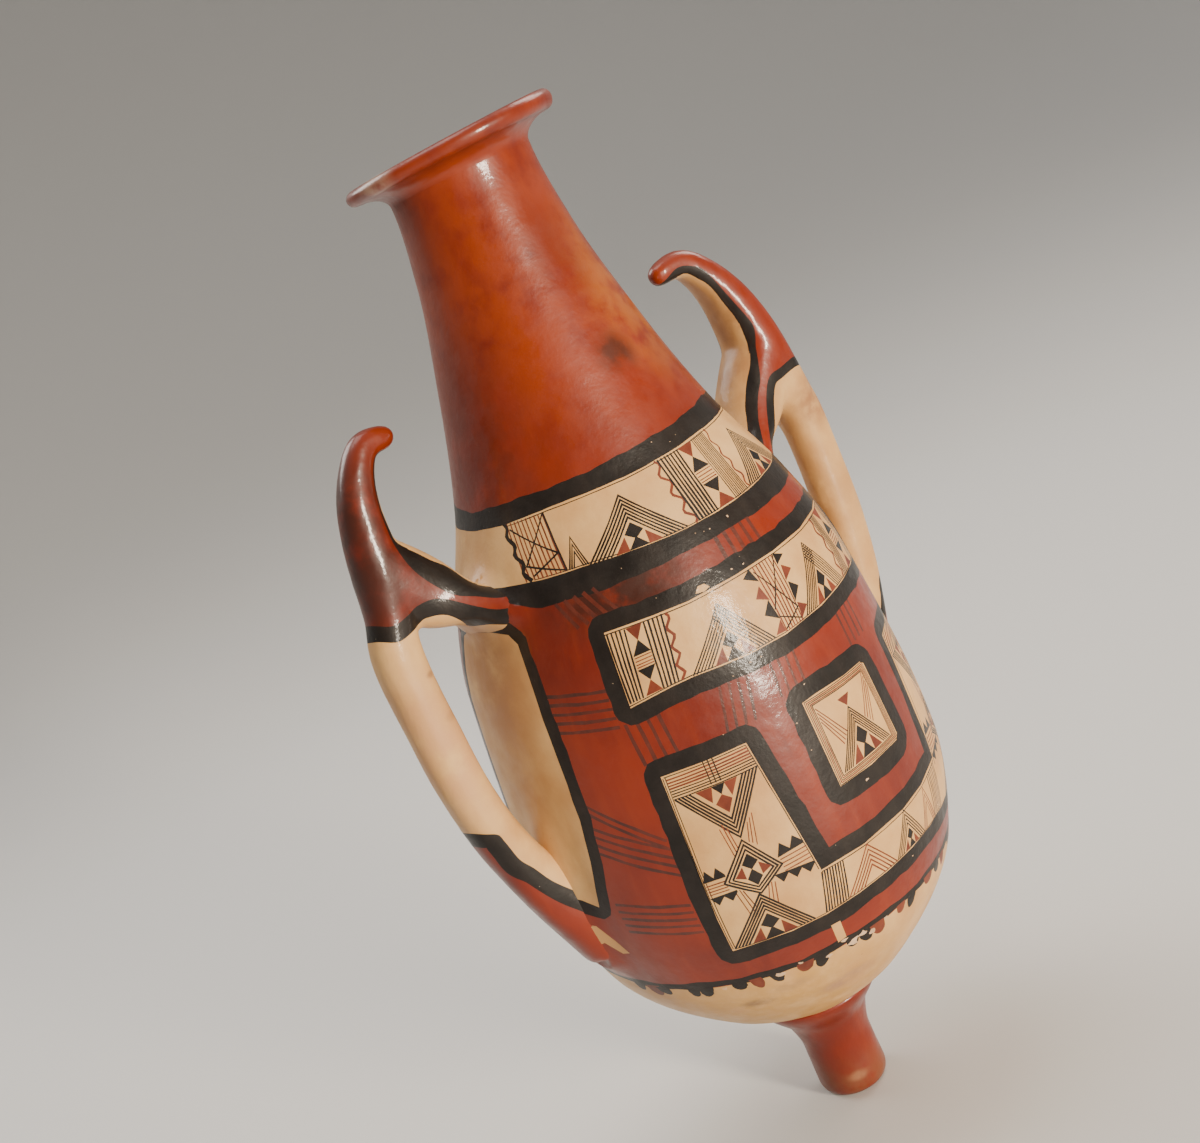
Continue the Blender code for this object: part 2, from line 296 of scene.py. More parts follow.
@dataclass(frozen=True)
class Palette:
    """Every finish of the jar, one for each paint."""

    red: Slip = Slip(
        "burnished_red_slip", (0.115, 0.008, 0.001), (0.19, 0.0165, 0.001), (0.25, 0.030, 0.002),
        roughness=0.42, varnish=0.40, mottle=15.0, streaks=0.3, grain=0.08,
        stains_and_shade=(
            StainOrShade((0.0, 0.0, 0.49), 0.150, (0.24, 0.029, 0.002), 0.8),
            StainOrShade((0.031, -0.045, 0.462), 0.038, (0.30, 0.085, 0.008), 0.7, (1.0, 1.0, 0.55)),
            StainOrShade((0.004, -0.059, 0.438), 0.017, (0.045, 0.012, 0.006), 0.85),
            # Darker red on the left side of the neck, towards the left horn.
            StainOrShade((-0.066, -0.010, 0.408), 0.060, (0.095, 0.009, 0.002), 0.7, (1.0, 1.0, 0.6)),
            StainOrShade((0.004, -0.047, 0.4950), 0.022, (0.10, 0.010, 0.003), 0.5, (1.0, 1.0, 0.5)),
            # A near-black patch on the red belt between the front and the left handle.
            StainOrShade((-0.059, -0.076, 0.340), 0.042, (0.028, 0.008, 0.004), 0.95, (0.8, 0.8, 1.8)),
            # Painted shade: the red of the left horn darkened to a deep brown.
            StainOrShade((-0.1480, 0.0000, 0.4080), 0.068, (0.045, 0.009, 0.004), 1.0, (1.1, 1.0, 0.8)),
            StainOrShade((-0.0580, -0.0140, 0.5570), 0.017, (0.40, 0.24, 0.16), 0.85),
            StainOrShade((0.0600, -0.0100, 0.5660), 0.020, (0.10, 0.035, 0.010), 0.7),
            StainOrShade((0.0000, 0.0000, -0.0040), 0.040, (0.15, 0.060, 0.024), 1.0),
            StainOrShade((-0.0090, -0.0180, 0.0120), 0.009, (0.32, 0.15, 0.07), 0.6, (1.0, 1.0, 2.2)),
        ),
    )
    cream: Slip = Slip(
        "cream_slip", (0.47, 0.245, 0.085), (0.60, 0.36, 0.145), (0.50, 0.265, 0.095),
        roughness=0.5, varnish=0.2, mottle=30.0, streaks=0.3, specks=0.03,
        speck_colour=(0.22, 0.11, 0.05), grain=0.12,
        stains_and_shade=(
            StainOrShade((-0.050, -0.060, 0.1000), 0.075, (0.46, 0.245, 0.055), 0.9),
            StainOrShade((0.060, 0.060, 0.1000), 0.070, (0.44, 0.23, 0.06), 0.6),
            StainOrShade((-0.070, -0.058, 0.115), 0.013, (0.16, 0.08, 0.03), 0.8, (1.0, 1.0, 2.5)),
            StainOrShade((-0.094, -0.047, 0.132), 0.010, (0.20, 0.10, 0.04), 0.7, (1.0, 1.0, 2.0)),
            StainOrShade((-0.0300, -0.0800, 0.1050), 0.022, (0.33, 0.17, 0.10), 0.8, (1.0, 1.0, 2.4)),
            StainOrShade((-0.0560, -0.0700, 0.1220), 0.016, (0.30, 0.17, 0.09), 0.8, (1.0, 1.0, 2.4)),
            # Painted shade: browner cream behind each strap, between the handle and the body.
            StainOrShade((-0.1080, 0.0000, 0.3150), 0.050, (0.36, 0.17, 0.065), 0.75),
            StainOrShade((0.1080, 0.0000, 0.3150), 0.050, (0.34, 0.16, 0.06), 0.7),
            # Painted shade: small dark spots on the left strap that stand for the shade in shallow dents.
            StainOrShade((-0.1345, -0.0110, 0.3360), 0.0045, (0.12, 0.05, 0.025), 0.8, (1.0, 1.0, 1.8)),
            StainOrShade((-0.1335, -0.0110, 0.3130), 0.0060, (0.12, 0.05, 0.025), 0.8, (0.8, 1.0, 1.6)),
            StainOrShade((-0.1420, -0.0115, 0.2480), 0.0050, (0.22, 0.11, 0.05), 0.7, (1.0, 1.0, 1.8)),
            StainOrShade((-0.1500, 0.0000, 0.3000), 0.060, (0.50, 0.26, 0.115), 0.9),
            StainOrShade((0.1480, -0.0100, 0.3600), 0.026, (0.27, 0.11, 0.04), 0.85),
            StainOrShade((0.1450, 0.0000, 0.3000), 0.030, (0.38, 0.19, 0.07), 0.6),
            # Browner cream on the right horn's concave side and the top of its strap.
            StainOrShade((0.1120, 0.0000, 0.4050), 0.045, (0.33, 0.15, 0.05), 0.8),
        ),
    )
    black: Slip = Slip(
        "black_brown_paint", (0.007, 0.005, 0.004), (0.015, 0.011, 0.009), (0.028, 0.019, 0.014),
        roughness=0.46, varnish=0.25, mottle=60.0, streaks=0.25, specks=0.035, grain=0.15, gloss=0.2,
    )
    brown: Slip = Slip(
        "red_brown_paint", (0.09, 0.014, 0.005), (0.16, 0.030, 0.010), (0.21, 0.05, 0.018),
        roughness=0.5, varnish=0.2, mottle=80.0, streaks=0.3, grain=0.12,
    )
    stroke: Slip = Slip(
        "dark_strokes_on_red", (0.040, 0.010, 0.006), (0.085, 0.014, 0.006), (0.12, 0.02, 0.008),
        roughness=0.45, varnish=0.5, mottle=70.0, streaks=0.5,
    )
    flake: Slip = Slip(
        "flaked_pale_clay", (0.42, 0.26, 0.15), (0.58, 0.40, 0.25), (0.64, 0.46, 0.30),
        roughness=0.7, varnish=0.0, mottle=120.0,
    )
    clay: Slip = Slip(
        "bare_inner_clay", (0.20, 0.075, 0.032), (0.30, 0.12, 0.055), (0.36, 0.16, 0.08),
        roughness=0.75, varnish=0.0, mottle=40.0, grain=0.5,
    )

    def materials(self) -> list[bpy.types.Material]:
        """Builds the materials in the order of Paint."""
        order = (self.red, self.cream, self.black, self.brown, self.stroke, self.flake, self.clay)
        return [slip.material() for slip in order]


# Shapes


@dataclass
class Outline:
    """The body's outer side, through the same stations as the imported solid's."""

    radii: tuple[float, ...] = (
        0.0365, 0.0645, 0.1045, 0.1163, 0.1073, 0.0938, 0.0738, 0.0568, 0.0434, 0.0388,
    )
    heights: tuple[float, ...] = (
        0.066, 0.084, 0.134, 0.190, 0.300, 0.346, 0.391, 0.447, 0.504, 0.545,
    )
    skin: float = 0.0006
    unevenness: float = 0.00025
    lip_tilt: float = 0.09
    tilt_start: float = 0.504
    rim: float = 0.563
    slopes: np.ndarray = field(init=False)

    def __post_init__(self) -> None:
        """Works out the slope at each station, level wherever the outline turns back."""
        radii, heights = np.array(self.radii), np.array(self.heights)
        span = np.diff(heights)
        step = np.diff(radii) / span
        slopes = [step[0]]
        for index in range(1, len(step)):
            below, above = step[index - 1], step[index]
            if below * above <= 0.0:
                slopes.append(0.0)
                continue
            first = 2.0 * span[index] + span[index - 1]
            second = span[index] + 2.0 * span[index - 1]
            slopes.append((first + second) / (first / below + second / above))
        self.slopes = np.array(slopes + [0.0])

    def radius(self, height: np.ndarray) -> tuple[np.ndarray, np.ndarray]:
        """Radius and slope of the outline at some heights.

        Args:
            height: Heights in metres.

        Returns:
            The radii, and their change with height.
        """
        radii, heights = np.array(self.radii), np.array(self.heights)
        height = np.clip(np.asarray(height, float), heights[0], heights[-1])
        index = np.clip(np.searchsorted(heights, height, side="right") - 1, 0, len(heights) - 2)
        span = heights[index + 1] - heights[index]
        share = (height - heights[index]) / span
        start, end = self.slopes[index] * span, self.slopes[index + 1] * span
        step = radii[index + 1] - radii[index]
        bend, twist = 3.0 * step - 2.0 * start - end, start + end - 2.0 * step
        radius = radii[index] + share * (start + share * (bend + share * twist))
        slope = (start + share * (2.0 * bend + 3.0 * share * twist)) / span
        return radius, slope

    def uneven(self, angle: np.ndarray, height: np.ndarray) -> np.ndarray:
        """The hand-built wall's slow swells, between minus one and one."""
        swell = np.sin(3.0 * angle + 31.0 * height) + np.sin(5.0 * angle - 47.0 * height + 1.3)
        return (swell + np.sin(2.0 * angle + 73.0 * height + 2.6)) / 3.0

    def tipped(self, places: np.ndarray) -> np.ndarray:
        """Tips the lip: level at the throat and higher towards +X.

        Args:
            places: Points in metres, which are changed.

        Returns:
            The same points.
        """
        share = np.clip((places[:, 2] - self.tilt_start) / (self.rim - self.tilt_start), 0.0, 1.0)
        places[:, 2] += self.lip_tilt * share ** 2 * places[:, 0]
        return places

    def surface(self, angle: np.ndarray, height: np.ndarray) -> np.ndarray:
        """Points of the outer side before the lip is tipped.

        Args:
            angle: Radians from the front, -Y, towards +X.
            height: Heights in metres.

        Returns:
            An array of points.
        """
        radius = self.radius(height)[0] - self.skin + self.unevenness * self.uneven(angle, height)
        return np.stack([radius * np.sin(angle), -radius * np.cos(angle), np.asarray(height, float)], -1)


def smooth_line(knots: tuple[tuple[float, ...], ...] | list[tuple[float, ...]], steps: int) -> np.ndarray:
    """Rows of numbers on a Catmull-Rom curve through some knots.

    Args:
        knots: The rows that the curve passes through.
        steps: How many rows there are to a span.

    Returns:
        The curve's rows.
    """
    ends = np.array([knots[0], *knots, knots[-1]])
    share = (np.arange(steps) / steps)[:, None]
    rows = []
    for index in range(1, len(knots)):
        a, b, c, d = ends[index - 1:index + 3]
        rows.append(
            b + 0.5 * share * (c - a) + share ** 2 * (a - 2.5 * b + 2.0 * c - 0.5 * d)
            + share ** 3 * (1.5 * b - 0.5 * a - 1.5 * c + 0.5 * d)
        )
    return np.vstack(rows + [ends[-1:]])


@dataclass
class HandleShape:
    """One handle's lines: a horn over a strap, and an arm from the horn's base to the shoulder.

    The paint's edges are drawn on the side view, as distances from the jar's axis and heights.
    """

    side: Side
    finger_gap: float
    rise: float
    reach: float
    half: float
    spread: float
    cream_top: tuple[Point, ...]
    cream_foot: tuple[Point, ...]
    ring: float
    crest: tuple[Point, ...]
    crest_back: Point
    lining: float
    belly: float = 0.1163
    wall: float = 0.0065
    strap: float = 0.0128
    strap_top: float = 0.3470
    strap_bend: float = 0.3050
    strap_root: float = 0.1640
    strap_root_half: float = 0.0120
    arm_root: float = 0.3450
    arm_root_half: float = 0.0085
    arm_half: float = 0.0185
    arm_root_spread: float = 0.0280
    arm_sag: float = 0.0020
    tip: float = 0.0055
    sides: int = 28
    rings_per_station: int = 9
    squareness: float = 2.3
    voxel: float = 0.0017
    fillet: float = 0.015
    fillet_share: float = 0.25
    edge_steps: int = 5

    def strap_reach(self) -> float:
        """Radius of the strap's middle line beside the belly."""
        return self.belly + self.finger_gap + self.strap

    def horn_stations(self) -> list[tuple[float, ...]]:
        """Stations from the horn's tip down to the strap.

        Returns:
            Radius, height, half thickness and half width of each.
        """
        shape = (
            (1.00, 0.955, 0.00), (0.86, 0.990, 0.14), (0.64, 0.985, 0.28), (0.45, 0.880, 0.45),
            (0.32, 0.740, 0.66), (0.25, 0.580, 0.86), (0.21, 0.420, 1.00), (0.11, 0.210, 0.86),
        )
        return [(
            self.strap_reach() - across * self.reach, self.strap_top + up * self.rise,
            self.tip + swell * (self.half - self.tip), self.tip + swell * (self.spread - self.tip),
        ) for across, up, swell in shape]

    def strap_stations(self, outline: Outline) -> list[tuple[float, ...]]:
        """Stations down the strap and along its bend into the belly wall.

        Args:
            outline: The body's outer side.

        Returns:
            Radius, height, half thickness and half width of each.
        """
        reach = self.strap_reach()
        root = float(outline.radius(self.strap_root)[0]) - self.wall
        stations = [(reach, self.strap_top, self.strap, self.strap)]
        for share in (0.0, 0.2, 0.4, 0.6, 0.8, 1.0):
            half = self.strap + share * (self.strap_root_half - self.strap)
            height = self.strap_bend + share * (self.strap_root - self.strap_bend)
            stations.append((reach - (reach - root) * share ** 2, height, half, half))
        return stations

    def arm_stations(self, outline: Outline) -> list[tuple[float, ...]]:
        """Stations of the arm, from inside the shoulder's wall up into the base of the horn.

        Args:
            outline: The body's outer side.

        Returns:
            Radius, height, half thickness and half width of each.
        """
        root = (float(outline.radius(self.arm_root)[0]) - self.wall, self.arm_root)
        base = self.horn_stations()[-2]
        shape = (
            (0.00, 0.0, 0.00, 1.0), (0.22, 0.6, 0.15, 0.6), (0.50, 1.0, 0.80, 0.1),
            (0.75, 0.6, 1.00, 0.0), (1.00, 0.0, 1.00, 0.0),
        )
        return [(
            root[0] + share * (base[0] - root[0]),
            root[1] + share * (base[1] - root[1]) - sag * self.arm_sag,
            self.arm_root_half + swell * (self.arm_half - self.arm_root_half),
            self.spread + flare * (self.arm_root_spread - self.spread),
        ) for share, sag, swell, flare in shape]

    def fillet_rise(self, depth: np.ndarray) -> np.ndarray:
        """How far a skin swells out beside the line where it meets another one."""
        near = np.clip(1.0 - np.abs(depth) / self.fillet, 0.0, 1.0)
        return near ** 2 * self.fillet * self.fillet_share

    def cream_area(self) -> np.ndarray:
        """Corners of the strap's cream part: its upper edge inwards, then its foot outwards."""
        return np.vstack([smooth_line(edge, self.edge_steps) for edge in (self.cream_top, self.cream_foot)])

    def crest_area(self) -> np.ndarray:
        """Corners of the black part round the horn's concave side."""
        return np.vstack([smooth_line(self.crest, self.edge_steps), [self.crest_back]])

    def limbs(self, outline: Outline) -> list[np.ndarray]:
        """The rings of the horn with its strap, rounded off at the tip, and of the arm.

        Args:
            outline: The body's outer side.

        Returns:
            The rings of both limbs.
        """
        horn = smooth_line(self.horn_stations() + self.strap_stations(outline), self.rings_per_station)
        steps = np.diff(horn[:, :2], axis=0, prepend=horn[:1, :2])
        share = np.clip(np.linalg.norm(steps, axis=1).cumsum() / self.tip, 0.03, 1.0)
        horn[:, 2:] *= np.sqrt(share * (2.0 - share))[:, None]
        return [horn, smooth_line(self.arm_stations(outline), self.rings_per_station)]

    def inner_line(self, outline: Outline) -> np.ndarray:
        """The rings from the horn's tip down its concave side and along the arm to the shoulder."""
        stations = self.horn_stations()[:-1] + self.arm_stations(outline)[-2::-1]
        return smooth_line(stations, self.rings_per_station)

    def side_view(self, places: np.ndarray) -> np.ndarray:
        """Points as distances from the jar's axis towards the handle, and heights."""
        return np.stack([places[:, 0] * self.side.value, places[:, 2]], -1)

    def nearest_ring(self, flat: np.ndarray, rings: np.ndarray) -> np.ndarray:
        """Which ring is nearest to each point of the side view."""
        return np.argmin(((flat[:, None, :] - rings[None, :, :2]) ** 2).sum(-1), 1)

    def depth(self, places: np.ndarray, rings: np.ndarray) -> np.ndarray:
        """Distance from a limb's skin, less than nought inside it.

        Args:
            places: Points in metres.
            rings: The limb's rings.

        Returns:
            One distance for each point.
        """
        flat = self.side_view(places)
        nearest = self.nearest_ring(flat, rings)
        out = np.hypot(*(flat - rings[nearest, :2]).T)
        half, width = rings[nearest, 2], rings[nearest, 3]
        share = np.hypot(out / half, places[:, 1] / width)
        return (share - 1.0) * np.hypot(out, places[:, 1]) / np.maximum(share, 1e-6)


LEFT_SHAPE = HandleShape(
    Side.LEFT, finger_gap=0.0130, rise=0.1000, reach=0.0470, half=0.0130, spread=0.0140,
    cream_top=(
        (0.175, 0.364), (0.156, 0.363), (0.142, 0.358), (0.129, 0.359), (0.124, 0.361), (0.115, 0.357),
        (0.106, 0.348), (0.098, 0.343), (0.080, 0.337),
    ),
    cream_foot=(
        (0.100, 0.180), (0.122, 0.210), (0.130, 0.224), (0.135, 0.232), (0.138, 0.244), (0.141, 0.251),
        (0.155, 0.257), (0.175, 0.262),
    ),
    ring=0.0078,
    crest=(
        (0.090, 0.439), (0.098, 0.440), (0.106, 0.441), (0.113, 0.437), (0.119, 0.425), (0.123, 0.406),
        (0.121, 0.385), (0.109, 0.366), (0.090, 0.354), (0.076, 0.351), (0.050, 0.349),
    ),
    crest_back=(0.040, 0.430),
    lining=0.62,
)
RIGHT_SHAPE = HandleShape(
    Side.RIGHT, finger_gap=0.0160, rise=0.1120, reach=0.0610, half=0.0150, spread=0.0205,
    cream_top=(
        (0.180, 0.378), (0.150, 0.380), (0.126, 0.379), (0.117, 0.374), (0.105, 0.354), (0.090, 0.330),
        (0.080, 0.300),
    ),
    cream_foot=(
        (0.100, 0.180), (0.108, 0.188), (0.124, 0.210), (0.139, 0.234), (0.143, 0.244), (0.150, 0.248),
        (0.180, 0.250),
    ),
    ring=0.0055,
    crest=(
        (0.074, 0.450), (0.087, 0.453), (0.098, 0.457), (0.106, 0.455), (0.113, 0.447), (0.122, 0.420),
        (0.123, 0.407), (0.114, 0.386), (0.107, 0.377), (0.093, 0.356), (0.082, 0.347), (0.050, 0.340),
    ),
    crest_back=(0.040, 0.440),
    lining=0.66,
)


# Meshes


def unit(vector: np.ndarray) -> np.ndarray:
    """A vector at a length of one."""
    return vector / np.linalg.norm(vector)


def added(name: str, data: bpy.types.ID) -> bpy.types.Object:
    """Puts a new object into the scene.

    Args:
        name: The object's name.
        data: Its mesh, lamp or camera.

    Returns:
        The object.
    """
    thing = bpy.data.objects.new(name, data)
    bpy.context.scene.collection.objects.link(thing)
    return thing


def finished_piece(name: str, mesh: bpy.types.Mesh, palette: list[bpy.types.Material]) -> bpy.types.Object:
    """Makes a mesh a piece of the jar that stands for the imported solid.

    Args:
        name: The piece's name.
        mesh: Its mesh.
        palette: Materials in the order of Paint.

    Returns:
        The piece.
    """
    piece = added(name, mesh)
    for material in palette:
        mesh.materials.append(material)
    for face in mesh.polygons:
        face.use_smooth = True
    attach(piece, "root")
    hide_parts(NODE)
    LOG.info("%s: %d faces", name, len(mesh.polygons))
    return piece


def turned_rows(profile: list[Point], angles: np.ndarray) -> tuple[np.ndarray, list[tuple[int, ...]]]:
    """Points and faces of a section turned about Z.

    Args:
        profile: Radius and height of each row, in order.
        angles: The columns' angles, with the first not repeated at the end.

    Returns:
        The points, and the quads between the rows.
    """
    count = len(angles)
    rows = [np.stack([r * np.sin(angles), -r * np.cos(angles), np.full(count, z)], -1) for r, z in profile]
    faces = []
    for row in range(len(profile) - 1):
        low, high = row * count, (row + 1) * count
        for column in range(count):
            after = (column + 1) % count
            faces.append((low + column, low + after, high + after, high + column))
    return np.vstack(rows), faces


def quarter_turn(start: Point, end: Point, level_first: bool, rows: int = 7) -> list[Point]:
    """Points of a quarter ellipse after start up to end.

    Args:
        start: Where the curve leaves from.
        end: Where it stops.
        level_first: True if it leaves level, or else upright.
        rows: How many points.

    Returns:
        The points.
    """
    points = []
    for row in range(1, rows + 1):
        angle = 0.5 * math.pi * row / rows
        fast, slow = math.sin(angle), 1.0 - math.cos(angle)
        across, along = (fast, slow) if level_first else (slow, fast)
        points.append((start[0] + across * (end[0] - start[0]), start[1] + along * (end[1] - start[1])))
    return points


# The painted pattern


@dataclass
class Brush:
    """Lays filled shapes and strokes of paint on the unrolled outer side, the later over the earlier."""

    outline: Outline
    hand: random.Random
    front: float = 32.0
    left: float = -208.0
    bottom: float = 66.0 / MARK_LENGTH
    top: float = 545.0 / MARK_LENGTH
    turn: float = 0.0
    mirror: float | None = None
    shapes: list[tuple[list[Point], Paint]] = field(default_factory=list)

    def placed(self, point: Point) -> Point:
        """Moves a point of the front's pattern to the part of the jar that is being painted."""
        across = point[0] if self.mirror is None else 2.0 * self.mirror - point[0]
        return across + self.turn, point[1]

    def metric(self, height: float) -> Point:
        """Millimetres to a degree and to a mark at a height in marks."""
        radius, slope = self.outline.radius(height * MARK)
        return float(radius) * math.radians(1.0) / MILLIMETRE, MARK_LENGTH * math.hypot(1.0, float(slope))

    def scale_at(self, points: list[Point]) -> np.ndarray:
        """Millimetres to a degree and to a mark at a shape's mean height."""
        return np.array(self.metric(sum(p[1] for p in points) / len(points)))

    def fill(self, points: list[Point], paint: Paint) -> None:
        """Fills a shape given by its corners in order."""
        self.shapes.append(([self.placed(point) for point in points], paint))

    def patch(self, inside: Callable[[float, float], Point], shares: tuple[Point, ...], paint: Paint) -> None:
        """Fills a shape whose corners are given by their shares of a larger one."""
        self.fill([inside(*share) for share in shares], paint)

    def stroke(self, points: list[Point], width: float, paint: Paint = Paint.BLACK,
               sway: float = 0.10) -> None:
        """Draws a brush stroke, a little uneven as the hand leaves it.

        Args:
            points: The stroke's corners.
            width: Its width in millimetres.
            paint: Its paint.
            sway: How far it wanders, in millimetres.
        """
        scale = self.scale_at(points)
        path = [np.array(points[0]) * scale]
        for start, end in zip(points, points[1:]):
            first, last = np.array(start) * scale, np.array(end) * scale
            pieces = max(1, int(np.linalg.norm(last - first) / 7.0))
            for piece in range(1, pieces + 1):
                place = first + (last - first) * piece / pieces
                if piece < pieces:
                    place = place + np.array([self.hand.uniform(-sway, sway), self.hand.uniform(-sway, sway)])
                path.append(place)
        lefts, rights = [], []
        for index, place in enumerate(path):
            before = path[index] - path[index - 1] if index else path[1] - path[0]
            after = path[index + 1] - path[index] if index + 1 < len(path) else before
            before, after = unit(before), unit(after)
            across = np.array([-(before + after)[1], (before + after)[0]])
            length = max(np.linalg.norm(across), 0.35)
            reach = across / length * min(2.0 / length, 2.2)
            half = 0.5 * width * (1.0 + self.hand.uniform(-0.16, 0.16))
            lefts.append(tuple((place + reach * half) / scale))
            rights.append(tuple((place - reach * half) / scale))
        self.fill(lefts + rights[::-1], paint)

    def hatch(self, corners: tuple[Point, Point, Point, Point], count: int, width: float,
              paint: Paint = Paint.BLACK) -> None:
        """Draws side-by-side strokes from the foot of a cell to its head.

        Args:
            corners: Lower left, lower right, upper right and upper left corners.
            count: How many strokes.
            width: Their width in millimetres.
            paint: Their paint.
        """
        low_left, low_right, high_right, high_left = corners
        for index in range(count):
            share = index / max(count - 1, 1) + self.hand.uniform(-0.06, 0.06) / count
            foot = tuple(a + (b - a) * share for a, b in zip(low_left, low_right))
            head = tuple(a + (b - a) * share for a, b in zip(high_left, high_right))
            self.stroke([foot, head], width, paint)

    def chevron(self, foot: Point, apex: Point, other: Point, count: int, step: float, width: float,
                paint: Paint = Paint.BLACK) -> tuple[Point, Point, Point]:
        """Draws nested chevrons that share a base line.

        Args:
            foot: Where the outer one starts.
            apex: Its point.
            other: Where it ends.
            count: How many there are.
            step: How much each shrinks towards the middle of the base.
            width: Stroke width in millimetres.
            paint: The paint.

        Returns:
            The three corners of the space that is left inside.
        """
        middle = ((foot[0] + other[0]) / 2.0, (foot[1] + other[1]) / 2.0)

        def drawn_in(point: Point, share: float) -> Point:
            """The point moved towards the base's middle."""
            return point[0] + (middle[0] - point[0]) * share, point[1] + (middle[1] - point[1]) * share

        for index in range(count):
            corners = [drawn_in(point, index * step) for point in (foot, apex, other)]
            self.stroke(corners, width, paint, 0.06)
        return tuple(drawn_in(point, count * step) for point in (foot, apex, other))

    def infill(self, corners: tuple[Point, Point, Point]) -> None:
        """Fills a triangle with a black hourglass between brown corners, leaving two cream gaps.

        Args:
            corners: The triangle's foot, point and other foot.
        """
        foot, apex, other = corners
        middle = ((foot[0] + other[0]) / 2.0, (foot[1] + other[1]) / 2.0)

        def inside(across: float, up: float) -> Point:
            """A point by its share of the half base and of the height."""
            return (middle[0] + across * (other[0] - middle[0]) + up * (apex[0] - middle[0]),
                    middle[1] + across * (other[1] - middle[1]) + up * (apex[1] - middle[1]))

        for side in (-1.0, 1.0):
            self.patch(inside, ((side * 0.97, 0.0), (side * 0.43, 0.54), (side * 0.40, 0.0)), Paint.BROWN)
        self.patch(inside, (
            (0.0, 0.98), (-0.40, 0.60), (-0.05, 0.38), (-0.42, 0.0), (0.42, 0.0), (0.05, 0.38), (0.40, 0.60),
        ), Paint.BLACK)

    def checked(self, foot: Point, apex: Point, other: Point, count: int, step: float,
                width: float) -> tuple[Point, Point, Point]:
        """Draws a chevron whose striped legs cross at its point, which makes a checked diamond.

        Args:
            foot: Where the outer line starts.
            apex: Its point.
            other: Where it ends.
            count: Lines to a leg.
            step: How much each shrinks towards the middle of the base.
            width: Stroke width in millimetres.

        Returns:
            The three corners of the space that is left inside.
        """
        middle = np.array([(foot[0] + other[0]) / 2.0, (foot[1] + other[1]) / 2.0])
        tip = np.array(apex)
        for start, end in ((np.array(foot), np.array(other)), (np.array(other), np.array(foot))):
            for index in range(count):
                share = index * step
                first = start + (middle - start) * share
                along = tip - start
                across = tip - end
                gap = end - first
                reach = gap[0] * across[1] - gap[1] * across[0]
                reach /= along[0] * across[1] - along[1] * across[0]
                self.stroke([tuple(first), tuple(first + along * reach)], width, sway=0.06)
        share = count * step
        return tuple(tuple(np.array(p) + (middle - np.array(p)) * share) for p in (foot, apex, other))

    def column(self, corners: tuple[Point, Point, Point, Point]) -> None:
        """Draws a column of facing triangles with a barred block at its middle.

        Args:
            corners: Lower left, lower right, upper right and upper left corners.
        """
        low_left, low_right, high_right, high_left = corners

        def inside(across: float, up: float) -> Point:
            """A point of the column by its shares of width and height."""
            return tuple(
                (1.0 - up) * (a + (b - a) * across) + up * (c + (d - c) * across)
                for a, b, c, d in zip(low_left, low_right, high_left, high_right)
            )

        for inset, base, tip, paint in (
            (0.02, 1.0, 0.79, Paint.BROWN), (0.0, 0.59, 0.80, Paint.BLACK),
            (0.0, 0.39, 0.20, Paint.BLACK), (0.04, 0.0, 0.20, Paint.BROWN),
        ):
            self.patch(inside, ((inset, base), (1.0 - inset, base), (0.5, tip)), paint)
        for up in (0.56, 0.51, 0.46, 0.42):
            self.stroke([inside(0.03, up), inside(0.97, up)], 0.55, Paint.BROWN)

    def ripple(self, start: Point, end: Point, waves: float, reach: float, width: float,
               paint: Paint = Paint.BROWN) -> None:
        """Draws a wavy stroke.

        Args:
            start: Where it starts.
            end: Where it ends.
            waves: How many waves it has.
            reach: How far it swings to each side, in degrees.
            width: Stroke width in millimetres.
            paint: The paint.
        """
        count = int(waves * 6)
        points = []
        for index in range(count + 1):
            share = index / count
            swing = reach * math.asin(0.96 * math.sin(2.0 * math.pi * waves * share)) / 1.2
            points.append((start[0] + (end[0] - start[0]) * share + swing,
                           start[1] + (end[1] - start[1]) * share))
        self.stroke(points, width, paint, 0.0)

    def grown(self, points: list[Point], reach: float) -> list[Point]:
        """A shape pushed outwards all round, with its outward corners rounded.

        Args:
            points: The shape's corners.
            reach: How far, in millimetres; less than nought draws it in.

        Returns:
            The larger shape.
        """
        scale = self.scale_at(points)
        ring = [np.array(point) * scale for point in points]
        area = sum(a[0] * b[1] - a[1] * b[0] for a, b in zip(ring, ring[1:] + ring[:1]))
        if area < 0.0:
            ring = ring[::-1]
        grown = []
        for index, place in enumerate(ring):
            before = place - ring[index - 1]
            after = ring[(index + 1) % len(ring)] - place
            before, after = unit(before), unit(after)
            first, last = np.array([before[1], -before[0]]), np.array([after[1], -after[0]])
            cross = before[0] * after[1] - before[1] * after[0]
            if cross * reach > 0.15:
                for share in (0.0, 0.33, 0.67, 1.0):
                    out = first + (last - first) * share
                    grown.append(place + unit(out) * reach)
            else:
                out = first + last
                grown.append(place + out / max(out @ out, 0.3) * 2.0 * reach)
        return [tuple(place / scale) for place in grown]

    def rough(self, points: list[Point], step: float = 5.0, sway: float = 0.35) -> list[Point]:
        """A shape with more points on its sides, each moved a little as by a soft brush.

        Args:
            points: The shape's corners.
            step: How far apart the points are, in millimetres.
            sway: How far they are moved, in millimetres.

        Returns:
            The roughened shape.
        """
        scale = self.scale_at(points)
        rough = []
        for start, end in zip(points, points[1:] + points[:1]):
            first, last = np.array(start) * scale, np.array(end) * scale
            pieces = max(1, int(np.linalg.norm(last - first) / step))
            for piece in range(pieces):
                place = first + (last - first) * piece / pieces
                move = np.array([self.hand.gauss(0.0, sway), self.hand.gauss(0.0, sway)])
                rough.append(tuple((place + (move if piece else 0.4 * move)) / scale))
        return rough

